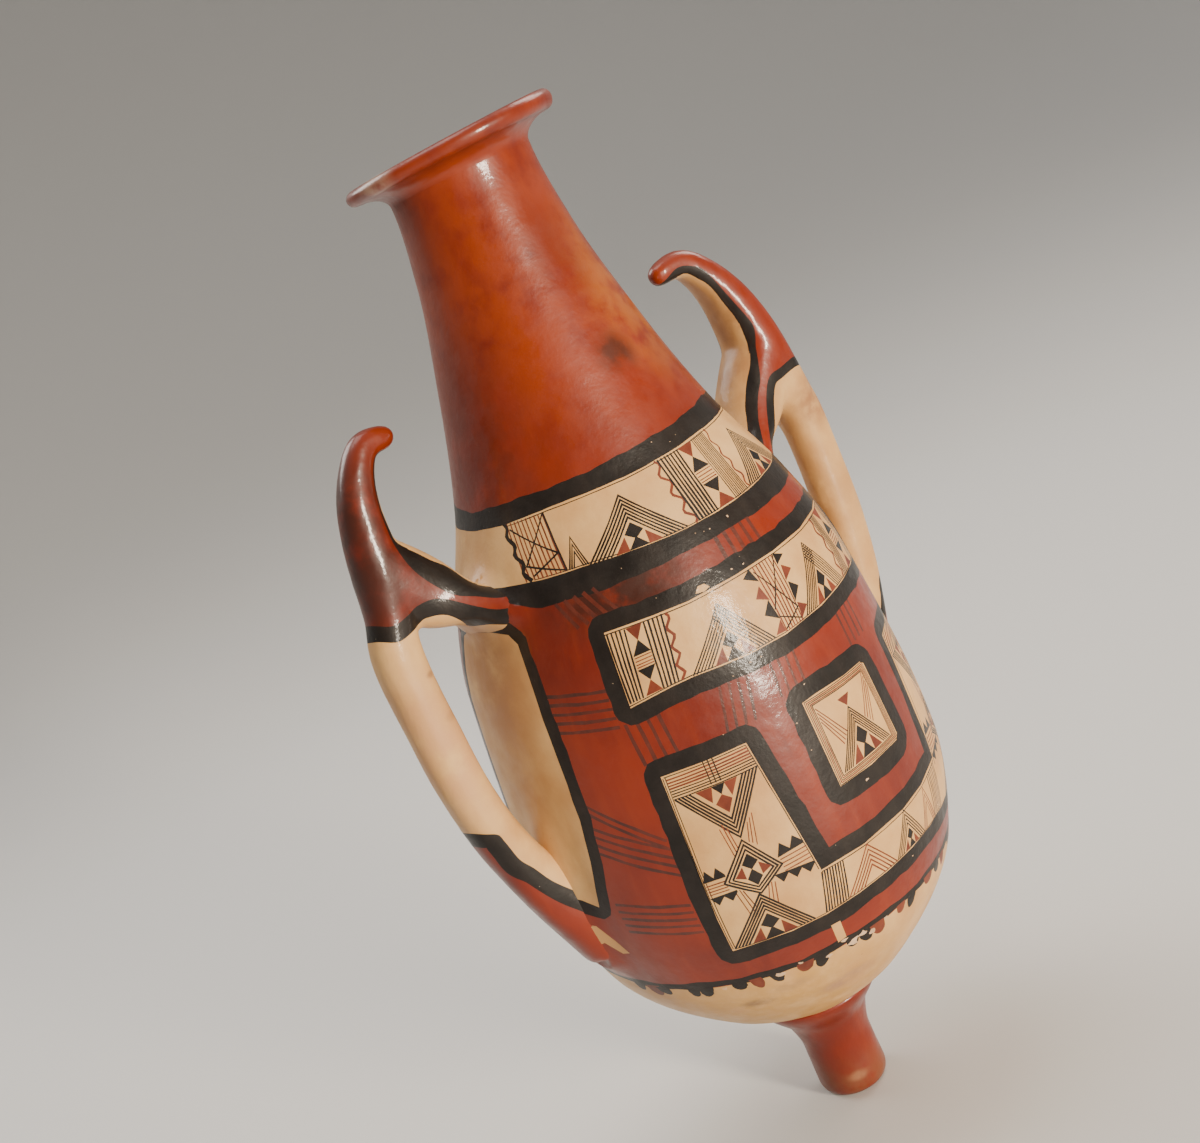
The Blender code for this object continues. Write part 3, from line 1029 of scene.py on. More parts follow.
    def belt(self, low: list[Point], high: list[Point], paint: Paint, sway: float = 0.35) -> None:
        """Fills a belt right round the jar between two edges, which repeat on the back.

        Args:
            low: Points of the lower edge over the front half.
            high: Points of the upper edge over the front half.
            paint: The paint.
            sway: How far the edges wander, in marks.
        """
        across = np.linspace(self.left, self.left + FULL_TURN, 181)
        sides = []
        for edge in (low, high):
            knots = edge + [(edge[0][0] + HALF_TURN, edge[0][1])]
            local = (across - edge[0][0]) % HALF_TURN + edge[0][0]
            level = np.interp(local, [k[0] for k in knots], [k[1] for k in knots])
            wave = np.radians(across)
            phase = self.hand.uniform(0.0, 6.0)
            level = level + sway * (np.sin(7.0 * wave + phase) + np.sin(19.0 * wave + 2.0 * phase)
                                    + 0.6 * np.sin(43.0 * wave + phase))
            sides.append(list(zip(across.tolist(), level.tolist())))
        self.shapes.append((sides[0] + sides[1][::-1], paint))

    def cut(self, seeds: list[Point], columns: int) -> tuple[np.ndarray, list[tuple[int, ...]], list[Paint]]:
        """Cuts the unrolled side into triangles along every painted edge.

        Args:
            seeds: Even points over the side, also along its four edges.
            columns: How many columns the side's lower and upper edges have.

        Returns:
            Points, triangles, and the paint of each triangle.
        """
        right = self.left + FULL_TURN
        across = np.linspace(self.left, right, columns + 1)
        corners = [(float(x), self.bottom) for x in across]
        corners += [(float(x), self.top) for x in across[::-1]]
        rings, paints = [corners], []
        for shape, paint in self.shapes:
            for shift in (-FULL_TURN, 0.0, FULL_TURN):
                moved = [(x + shift, y) for x, y in shape]
                if max(moved)[0] > self.left + 1e-6 and min(moved)[0] < right - 1e-6:
                    rings.append(moved)
                    paints.append(paint)
        points, edges = [], []
        for ring in rings:
            start, count = len(points), len(ring)
            points += [Vector((x * DEGREE_LENGTH, y * MARK_LENGTH)) for x, y in ring]
            edges += [(start + index, start + (index + 1) % count) for index in range(count)]
        points += [Vector((x * DEGREE_LENGTH, y * MARK_LENGTH)) for x, y in seeds]
        made = delaunay_2d_cdt(points, edges, [], 0, 1e-4, False)
        flat = np.array([(place.x / DEGREE_LENGTH, place.y / MARK_LENGTH) for place in made[0]])
        faces = np.array([tuple(face) for face in made[2]])
        middles = flat[faces].mean(1)
        inside = (middles[:, 0] > self.left) & (middles[:, 0] < right)
        inside &= (middles[:, 1] > self.bottom) & (middles[:, 1] < self.top)
        faces, middles = faces[inside], middles[inside]
        worn = np.full(len(faces), Paint.RED.value)
        for ring, paint in zip(rings[1:], paints):
            worn[self.covered(middles, np.array(ring))] = paint.value
        used, fresh = np.unique(faces, return_inverse=True)
        faces = fresh.reshape(faces.shape)
        LOG.info("pattern: %d shapes, %d points, %d triangles", len(rings), len(used), len(faces))
        return flat[used], [tuple(face) for face in faces.tolist()], [Paint(value) for value in worn.tolist()]

    def covered(self, places: np.ndarray, ring: np.ndarray) -> np.ndarray:
        """Which points lie inside a shape, also where its outline crosses itself.

        Args:
            places: The points.
            ring: The shape's corners in order.

        Returns:
            The indices of the points inside.
        """
        low, high = ring.min(0), ring.max(0)
        index = np.nonzero(((places >= low) & (places <= high)).all(1))[0]
        if not len(index):
            return index
        x, y = places[index, 0][:, None], places[index, 1][:, None]
        following = np.roll(ring, -1, axis=0)
        up = (ring[None, :, 1] <= y) & (following[None, :, 1] > y)
        down = (ring[None, :, 1] > y) & (following[None, :, 1] <= y)
        rise = following[:, 1] - ring[:, 1]
        rise = np.where(np.abs(rise) < 1e-12, 1e-12, rise)
        beyond = ring[None, :, 0] + (y - ring[None, :, 1]) * (following[:, 0] - ring[:, 0]) / rise > x
        winding = (up & beyond).sum(1) - (down & beyond).sum(1)
        return index[winding != 0]


@dataclass
class Pattern:
    """The jar's painted pattern: belts right round it, and a composed front that its back repeats."""

    brush: Brush
    line: float = 1.0
    bold: float = 1.15
    axis: float = 36.7
    handle: float = -58.0
    dabs: int = 34
    first_dab: float = -52.0
    dab_gap: float = 4.7
    bare: Point = (8.5, 13.5)
    neck_edge: list[Point] = field(default_factory=lambda: [
        (-58, 702), (-20, 703), (10, 704), (30, 706), (50, 709), (70, 711), (100, 707)])
    first_top: list[Point] = field(default_factory=lambda: [
        (-58, 686), (-40, 686), (-20, 688), (0, 687.5), (10, 687), (30, 688), (50, 690), (75, 691),
        (100, 688)])
    first_bottom: list[Point] = field(default_factory=lambda: [
        (-58, 640), (-45, 638), (-30, 636), (-10, 634.5), (5, 631), (20, 628.5), (40, 628.5), (70, 631),
        (100, 635)])
    belt_top: list[Point] = field(default_factory=lambda: [
        (-58, 632), (-45, 629), (-38, 621), (-30, 614), (-10, 612), (5, 613), (20, 612), (40, 611),
        (75, 611), (100, 614), (108, 621), (115, 628)])
    base_top: list[Point] = field(default_factory=lambda: [
        (-58, 258), (-45, 251), (-20, 246), (0, 243), (20, 242.5), (40, 244), (60, 247), (90, 251)])
    base_low: list[Point] = field(default_factory=lambda: [
        (-58, 251), (-45, 244), (-20, 238), (0, 236), (20, 235.5), (40, 237), (60, 240), (90, 244)])

    def draw(self) -> None:
        """Draws the belts, then the front, the plainer back, and what lies beside both handles."""
        brush = self.brush
        ground = [(-58.0, 90.0), (30.0, 90.0)]
        brush.belt(ground, self.base_low, Paint.CREAM)
        brush.belt(self.base_low, self.base_top, Paint.BLACK, 0.7)
        brush.belt(self.belt_top, self.neck_edge, Paint.BLACK, 0.5)
        brush.belt(self.first_bottom, self.first_top, Paint.CREAM, 0.15)
        for turn in (0.0, HALF_TURN):
            brush.turn = turn
            plain = turn > 0.0
            self.scallops()
            self.red_field(plain)
            self.first_band(plain)
            self.second_band(plain)
            self.tall_panels(plain)
            self.small_square(plain)
            self.flakes(plain)
        for turn in (0.0, HALF_TURN):
            brush.turn = turn
            self.handle_panel()
        brush.turn = 0.0

    def scallops(self) -> None:
        """Dabs of black and brown that hang from the lowest belt."""
        for index in range(self.dabs):
            across = self.first_dab + self.dab_gap * index + 0.7 * math.sin(index * 2.3)
            if index % 7 in (3, 6) or self.bare[0] < across < self.bare[1]:
                continue
            top = float(np.interp(across, *zip(*self.base_low)))
            half = 2.15 + 0.35 * math.sin(index * 1.3)
            drop = 11.5 + 2.5 * math.sin(index * 1.7)
            lean = 0.9 * math.sin(index * 0.9)
            ring = []
            for step in range(13):
                angle = math.pi * step / 12
                down = drop * math.sin(angle) ** 0.8
                aside = lean * down / drop + self.brush.hand.uniform(-0.15, 0.15)
                ring.append((across - half * math.cos(angle) + aside, top + 2.0 - down))
            self.brush.fill(ring, Paint.BROWN if index % 5 in (1, 3) else Paint.BLACK)

    def strokes(self, start: Point, end: Point, count: int, gap: Point, width: float = 1.7) -> None:
        """A group of dark strokes on the red ground.

        Args:
            start: Where the first stroke starts.
            end: Where it ends.
            count: How many strokes.
            gap: The step from each stroke to the next.
            width: Their width in millimetres.
        """
        for index in range(count):
            shift = (gap[0] * index, gap[1] * index)
            self.brush.stroke([(start[0] + shift[0], start[1] + shift[1]),
                               (end[0] + shift[0], end[1] + shift[1])], width, Paint.STROKE, 0.25)

    def red_field(self, plain: bool) -> None:
        """Groups of dark strokes over the red field and belts.

        Args:
            plain: True on the back, where there are fewer.
        """
        self.strokes((-36.5, 543), (-19, 535), 5, (0.0, -8.2))
        self.strokes((-38, 446), (-19, 396), 2, (0.0, -8.0))
        self.strokes((-38, 422), (-19, 388), 4, (0.0, -8.5))
        self.strokes((-40, 346), (-20, 334), 5, (0.0, -7.2))
        self.strokes((-17.5, 503), (-16.5, 464), 4, (2.9, 0.0), 1.9)
        self.strokes((8.0, 506), (5.0, 464), 4, (2.5, 0.0), 1.5)
        self.strokes((22.0, 503), (21.0, 470), 4, (2.5, 0.0), 1.5)
        self.strokes((48.5, 503), (48.0, 470), 4, (2.6, 0.0), 1.7)
        if not plain:
            self.strokes((-25.5, 614), (-20.5, 590), 5, (3.1, 0.6), 2.0)
            self.strokes((26.0, 612), (25.5, 588), 5, (3.3, 0.0), 2.2)
        self.strokes((93.0, 543), (110.0, 535), 4, (0.0, -8.2))
        self.strokes((93.0, 400), (111.0, 446), 4, (0.0, -8.2))

    def first_band(self, plain: bool) -> None:
        """The upper cream band's strips, chevrons and column.

        Args:
            plain: True on the back, which leaves out the small triangle and the crossed lines.
        """
        brush = self.brush
        brush.stroke([(x, y - 2.0) for x, y in self.first_top[1:]], 0.5)
        brush.stroke([(x, y + 1.2) for x, y in self.first_bottom[2:-1]], 0.5)
        brush.hatch(((-33.5, 637), (-19.3, 636), (-22.6, 686), (-38.5, 686)), 10, 0.8, Paint.BROWN)
        brush.stroke([(-18.8, 636), (-22.3, 686)], 0.9)
        brush.ripple((-40.2, 687), (-32.2, 637), 3.2, 0.9, 2.2, Paint.BLACK)
        if not plain:
            brush.stroke([(-37.5, 681), (-20.3, 652), (-30.5, 640)], 0.9)
            brush.stroke([(-22.4, 686), (-32.5, 649), (-22.5, 640), (-18.9, 637)], 0.9)
            brush.chevron((-18.0, 636), (-15.0, 660), (-11.7, 635), 3, 0.24, 0.8)
        brush.infill(brush.chevron((-11.4, 634), (5.4, 675.5), (20.5, 629.5), 6, 0.085, 0.95))
        brush.ripple((22.8, 687), (23.4, 629), 3.5, 1.35, 1.3)
        brush.hatch(((25.0, 629), (32.2, 629), (33.6, 687), (24.4, 687)), 7, self.bold)
        brush.column(((32.9, 629.5), (40.6, 629.5), (41.8, 687), (33.9, 687)))
        brush.hatch(((41.0, 629), (47.5, 630), (49.5, 689), (42.3, 688)), 9, 0.62)
        brush.ripple((51.3, 689), (49.2, 631), 4.0, 0.8, 1.1)
        brush.infill(brush.chevron((49.8, 631), (65.0, 677), (81.0, 632), 6, 0.085, 0.95))
        if not plain:
            brush.hatch(((86.0, 634), (93.0, 635), (95.5, 687), (88.0, 688)), 7, 0.8, Paint.BROWN)
            brush.stroke([(94.5, 635), (97.0, 687)], 1.6)

    def second_band(self, plain: bool) -> None:
        """The lower cream band in its black surround.

        Args:
            plain: True on the back, which has no stepped edges on its middle strip.
        """
        brush = self.brush
        band = [(-14.6, 514.5), (-10, 516.5), (-3, 519), (3, 519.5), (10, 517.5), (18, 515), (30, 513.5),
                (45, 515), (60, 517), (72, 516.5), (80.5, 515.5), (80.0, 579), (70, 578.5), (55, 577.5),
                (40, 577.5), (25, 577.5), (10, 577), (0, 578.5), (-7, 579.5), (-14.1, 580)]
        brush.fill(brush.rough(brush.grown(band, 8.4)), Paint.BLACK)
        brush.fill(band, Paint.CREAM)
        brush.stroke([(x, y - 2.0) for x, y in band[11:]], 0.5)
        brush.stroke([(x, y + 1.6) for x, y in band[:11]], 0.5)
        brush.hatch(((-14.1, 518), (-10.6, 519), (-8.7, 577), (-13.6, 578)), 5, 0.95)
        brush.column(((-9.9, 519.5), (-4.9, 520.5), (-3.6, 577), (-8.4, 577)))
        brush.hatch(((-4.9, 520.5), (-0.8, 521), (1.9, 577), (-3.2, 577)), 5, 0.95)
        brush.ripple((3.0, 576), (0.5, 521), 3.6, 0.75, 1.4)
        brush.infill(brush.checked((3.0, 520), (16.3, 565), (26.6, 516), 6, 0.082, 0.72))
        brush.hatch(((30.6, 515), (36.6, 515), (38.2, 576), (30.8, 576)), 7, 0.8, Paint.BROWN)
        if not plain:
            self.stepped_edges()
        brush.infill(brush.checked((38.6, 516), (51.3, 568), (60.2, 518), 6, 0.082, 0.72))
        brush.ripple((62.2, 577), (61.4, 518), 3.6, 0.75, 1.4)
        brush.hatch(((63.0, 518), (66.8, 518), (66.6, 577), (63.3, 577)), 5, 0.95)
        brush.column(((67.6, 518), (73.8, 518), (73.8, 577), (67.6, 577)))
        brush.hatch(((75.0, 517), (79.6, 517), (79.2, 577), (75.0, 577)), 5, 0.95)

    def stepped_edges(self) -> None:
        """Black and brown points on both edges of the middle strip, and its crossed lines."""
        brush = self.brush
        for tip, top, foot, paint in (
            ((26.3, 571.0), (29.4, 576.0), (30.3, 563.0), Paint.BLACK),
            ((26.7, 551.8), (29.4, 560.0), (30.3, 545.5), Paint.BROWN),
            ((26.7, 536.5), (29.8, 546.5), (30.4, 527.5), Paint.BLACK),
            ((27.2, 517.0), (30.3, 527.0), (30.4, 516.0), Paint.BROWN),
            ((42.3, 570.8), (39.0, 576.0), (38.4, 566.0), Paint.BLACK),
            ((41.9, 557.3), (39.3, 564.5), (37.9, 551.0), Paint.BROWN),
            ((40.9, 541.8), (38.3, 550.0), (37.3, 532.0), Paint.BLACK),
            ((40.4, 524.3), (37.6, 531.0), (36.8, 517.0), Paint.BROWN),
        ):
            brush.fill([tip, top, foot], paint)
        brush.stroke([(30.2, 572.0), (37.2, 527.5), (30.8, 517.0)], 0.7)
        brush.stroke([(38.8, 575.0), (30.3, 536.0)], 0.7)
        brush.stroke([(30.4, 529.5), (36.8, 517.5)], 0.7)

    def tall_panels(self, plain: bool) -> None:
        """Two tall panels, one the other's mirror image, joined along the base by a frieze.

        Args:
            plain: True on the back, where the panels have fewer lines.
        """
        brush = self.brush
        left = [(-14.2, 451), (-15.9, 277)]
        base = [(0, 275.8), (10, 276), (20, 278), (30, 279.5), (40, 281), (50, 282), (60, 281.5), (75, 278)]
        right = [(89.3, 277), (87.6, 451), (65.4, 450), (61.3, 329)]
        inner = [(50, 323.5), (40, 320.5), (25, 318.5), (12.3, 319), (8.0, 450.5)]
        outer = left + base + right + inner
        brush.fill(brush.rough(brush.grown(outer, 8.6), 6.0, 0.4), Paint.BLACK)
        brush.fill(outer, Paint.CREAM)
        for mirror in (None, self.axis):
            brush.mirror = mirror
            self.tall_panel(plain)
        brush.mirror = None
        self.frieze(plain)

    def tall_panel(self, plain: bool) -> None:
        """One tall panel: bars, a hanging chevron, a lozenge with toothed arms, and a standing chevron.

        Args:
            plain: True on the back, which has no thin brown lines.
        """
        brush = self.brush
        brush.stroke([(-13.9, 449), (-15.5, 279)], 0.45)
        brush.stroke([(-13.3, 449), (-14.9, 279)], 0.45)
        brush.stroke([(7.6, 449), (11.8, 321)], 0.5)
        brush.stroke([(-13.6, 449.4), (7.5, 448.9)], 0.5)
        for up in (446.5, 443.6, 440.9, 438.4):
            brush.stroke([(-13.3, up), (7.8, up)], 0.8, Paint.BROWN)
        for up in (435.9, 433.4, 431.0, 428.6):
            brush.stroke([(-13.3, up), (8.2, up)], 0.62)
        for across in (-3.4, -2.2, -1.0):
            brush.stroke([(across, 452), (across - 0.1, 430)], 0.6)
        self.hanging(brush.chevron((-13.2, 428.5), (-2.2, 378.0), (8.0, 428.5), 5, 0.088, self.line))
        if not plain:
            for start, end in (
                ((-6.1, 391), (-5.3, 364)), ((-5.2, 394), (-4.5, 366)), ((-4.4, 390), (-3.8, 369)),
                ((2.4, 394), (0.7, 366)), ((1.5, 391), (-0.1, 369)), ((0.6, 388), (-0.8, 371)),
                ((-8.6, 333), (-7.5, 309)), ((-7.5, 334), (-6.3, 310)), ((-6.8, 332), (-5.4, 313)),
                ((1.0, 329), (-0.2, 309)), ((0.2, 330), (-1.1, 311)), ((-0.6, 329), (-2.0, 314)),
            ):
                brush.stroke([start, end], 0.55, Paint.BROWN)
        for start, end, low, high in ((-14.6, -9.6, 336.0, 347.5), (4.2, 11.2, 332.5, 346.5)):
            for index in range(4):
                up = low + 1.5 + (high - low - 3.0) * index / 3.0
                brush.stroke([(start, up), (end, up + (1.0 if start > 0 else 0.0))], 0.6, Paint.BROWN)
        self.teeth((-14.9, 349.5), (-9.2, 349.5), 2, 11.0)
        self.teeth((-14.9, 334.5), (-8.0, 335.0), 2, -8.5)
        self.teeth((3.8, 347.5), (10.9, 349.5), 2, 11.5)
        self.teeth((1.4, 334.5), (11.6, 330.5), 3, -9.0)
        lozenge = ((-10.2, 343.5), (-2.3, 375.0), (4.2, 341.0), (-3.0, 324.0))
        brush.fill(list(lozenge), Paint.CREAM)
        centre = (-2.8, 345.0)
        for index in range(3):
            ring = [(x + (centre[0] - x) * 0.15 * index, y + (centre[1] - y) * 0.15 * index)
                    for x, y in lozenge]
            brush.stroke(ring + ring[:1], self.line, sway=0.05)
        self.lozenge_core(centre)
        brush.infill(brush.chevron((-15.0, 278.5), (-3.6, 323.5), (6.6, 277.5), 5, 0.085, self.line))

    def hanging(self, corners: tuple[Point, Point, Point]) -> None:
        """Fills the hanging chevron: brown and black along its head, and a brown diamond at its point.

        Args:
            corners: The first corner of its head, its point, and the head's other corner.
        """
        foot, apex, other = corners
        width, drop = other[0] - foot[0], foot[1] - apex[1]

        def inside(across: float, down: float) -> Point:
            """A point by its shares of the width and of the drop."""
            return foot[0] + across * width, foot[1] - down * drop

        for shares, paint in (
            (((0.05, 0.02), (0.40, 0.02), (0.30, 0.50)), Paint.BROWN),
            (((0.95, 0.02), (0.66, 0.02), (0.72, 0.50)), Paint.BROWN),
            (((0.38, 0.02), (0.68, 0.02), (0.53, 0.34)), Paint.BLACK),
            (((0.53, 0.34), (0.70, 0.56), (0.53, 0.95), (0.34, 0.58)), Paint.BROWN),
        ):
            self.brush.patch(inside, shares, paint)

    def lozenge_core(self, centre: Point) -> None:
        """Fills the lozenge: brown at its ends, and a black hourglass between two cream gaps.

        Args:
            centre: The lozenge's middle.
        """
        brush = self.brush
        x, y = centre
        brush.fill([(x - 4.5, y - 0.5), (x - 2.0, y + 7.5), (x - 2.0, y - 4.5)], Paint.BROWN)
        brush.fill([(x + 4.6, y - 1.0), (x + 2.0, y + 7.0), (x + 2.0, y - 5.0)], Paint.BROWN)
        brush.fill([(x, y + 2.5), (x - 1.9, y + 9.0), (x + 0.3, y + 17.5), (x + 2.2, y + 8.5)], Paint.BLACK)
        brush.fill([(x, y + 3.0), (x - 1.9, y - 5.0), (x - 0.1, y - 13.0), (x + 1.9, y - 6.0)], Paint.BLACK)

    def teeth(self, start: Point, end: Point, count: int, reach: float) -> None:
        """A black saw edge along a line.

        Args:
            start: Where the line starts.
            end: Where it ends.
            count: How many teeth.
            reach: Their height in marks, less than nought where they hang.
        """
        points = [start]
        for index in range(count):
            for part, up in ((0.45, 1.0), (1.0, 0.22)):
                share = (index + part) / count
                points.append((start[0] + (end[0] - start[0]) * share,
                               start[1] + (end[1] - start[1]) * share + reach * up))
        self.brush.fill(points + [end], Paint.BLACK)

    def frieze(self, plain: bool) -> None:
        """The low frieze between the tall panels: a striped strip and three small chevrons.

        Args:
            plain: True on the back, which has two chevrons.
        """
        brush = self.brush
        brush.stroke([(12.3, 317.2), (25, 316.7), (40, 318.5), (50, 321.5), (61, 327)], 0.5)
        brush.stroke([(-15, 278.6), (0, 277.4), (10, 277.6), (20, 279.6), (30, 281.1), (40, 282.6),
                      (60, 283)], 0.5)
        brush.hatch(((9.9, 278), (16.6, 279), (18.2, 316.5), (12.2, 317)), 9, 0.85)
        brush.chevron((17.0, 279.5), (25.7, 316.5), (33.6, 281), 5, 0.14, 0.75, Paint.BROWN)
        brush.infill(brush.chevron((34.0, 282), (40.0, 319.5), (46.8, 283), 4, 0.12, 0.7))
        if not plain:
            brush.chevron((47.0, 283.5), (50.2, 321), (54.0, 283.5), 3, 0.2, 0.6, Paint.BROWN)
        brush.hatch(((54.2, 284), (60.0, 284), (60.0, 326), (54.2, 324)), 7, 0.75)

    def small_square(self, plain: bool) -> None:
        """The small square panel in its thick surround.

        Args:
            plain: True on the back, which has no slanting lines.
        """
        brush = self.brush
        square = [(25.2, 375.5), (36, 374.5), (47.6, 374.8), (48.9, 379), (48.9, 450), (47.8, 453.5),
                  (40, 454.5), (30, 457), (25.1, 456.3)]
        brush.fill(brush.rough(brush.grown(square, 9.0), 6.0, 0.45), Paint.BLACK)
        brush.fill(square, Paint.CREAM)
        for inset, width, paint in (
            (0.45, 0.45, Paint.BLACK), (1.35, 0.6, Paint.BROWN), (2.15, 0.45, Paint.BLACK),
            (3.0, 0.6, Paint.BROWN), (3.75, 0.5, Paint.BLACK),
        ):
            x, y = inset / 1.95, inset / 0.57
            ring = [(25.2 + x, 375.3 + y), (48.6 - x, 375.3 + y),
                    (48.5 - x, 453.2 - y), (25.3 + x, 456.3 - y)]
            brush.stroke(ring + ring[:1], width, paint, 0.05)
        brush.fill([(34.6, 440.8), (39.0, 440.8), (36.8, 431.5)], Paint.BROWN)
        if not plain:
            for index in range(4):
                up = 446 - 4.2 * index
                left = [(27.6, up), (33.4 - 0.75 * index, 413.0 - 2.6 * index)]
                right = [(46.2, up), (40.6 + 0.65 * index, 413.0 - 2.8 * index)]
                brush.stroke(left, 0.6, Paint.BROWN)
                brush.stroke(right, 0.6, Paint.BROWN)
        brush.infill(brush.chevron((27.9, 383.3), (36.8, 430.0), (45.9, 383.3), 5, 0.075, 0.72))

    def handle_panel(self) -> None:
        """The plain cream panel behind a handle, ringed in black."""
        brush, middle = self.brush, self.handle
        half = [(0, 604), (8, 603), (13.5, 599), (16.3, 590), (17.6, 568), (18.2, 540), (18.4, 480),
                (18.0, 430), (16.0, 390), (12.2, 344), (8, 352), (0, 360)]
        panel = [(middle + x, y) for x, y in half] + [(middle - x, y) for x, y in half[-2:0:-1]]
        brush.fill(brush.rough(brush.grown(panel, 7.2), 6.0, 0.4), Paint.BLACK)
        brush.fill(brush.rough(panel, 8.0, 0.25), Paint.CREAM)
        brush.fill([(middle + x, y) for x, y in (
            (1.5, 306), (3.5, 300), (8, 306), (11, 291), (13.3, 291), (11.5, 306), (8.5, 325), (4, 330),
            (6.5, 320), (4.5, 311))], Paint.CREAM)

    def flakes(self, plain: bool) -> None:
        """Small chips where the dark paint has lifted off the pale clay.

        Args:
            plain: True on the back, where there are fewer.
        """
        brush = self.brush
        brush.fill([(12.6, 579.5), (14, 584), (16, 583.5), (17, 579.5), (15, 578)], Paint.CREAM)
        brush.fill([(9.8, 262.5), (12.5, 262.5), (12.9, 243), (10.2, 241.5)], Paint.CREAM)
        chips = ((33.6, 621, 1.3), (26.0, 619.5, 0.8), (24.0, 620, 0.6), (21.3, 622, 0.6), (32.9, 366, 1.6),
                 (39.6, 273, 1.3), (-3.0, 622.5, 0.5), (33.5, 695, 0.7), (37.5, 697.5, 0.5), (26.5, 702, 0.7),
                 (25.0, 583, 1.0), (29.0, 582, 0.9), (20.8, 508.5, 0.9), (17.5, 509, 1.0), (3.8, 465, 0.6),
                 (22.0, 417.5, 0.6), (28.0, 469, 0.8), (5.0, 330, 0.5), (57.0, 289, 0.7), (12.0, 505.5, 0.5),
                 (-52.5, 629, 0.8), (21.5, 444, 0.8), (61.5, 335, 0.8), (70.5, 360, 0.9), (2.5, 590, 0.5))
        worn = ((14.2, 233, 6.5), (18.0, 236, 5.0), (20.5, 232, 3.5), (-7.5, 235, 3.5), (6.5, 232, 3.0),
                (-1.5, 239, 2.2), (12.0, 241, 3.0), (26.0, 236, 2.2), (-24.0, 236, 2.5))
        for across, up, size in chips[::2] if plain else chips + worn:
            ring = []
            for step in range(8):
                angle = math.tau * step / 8
                reach = size * brush.hand.uniform(0.3, 1.1)
                ring.append((across + 0.42 * reach * math.cos(angle), up + 0.9 * reach * math.sin(angle)))
            brush.fill(ring, Paint.FLAKE)


# Handles


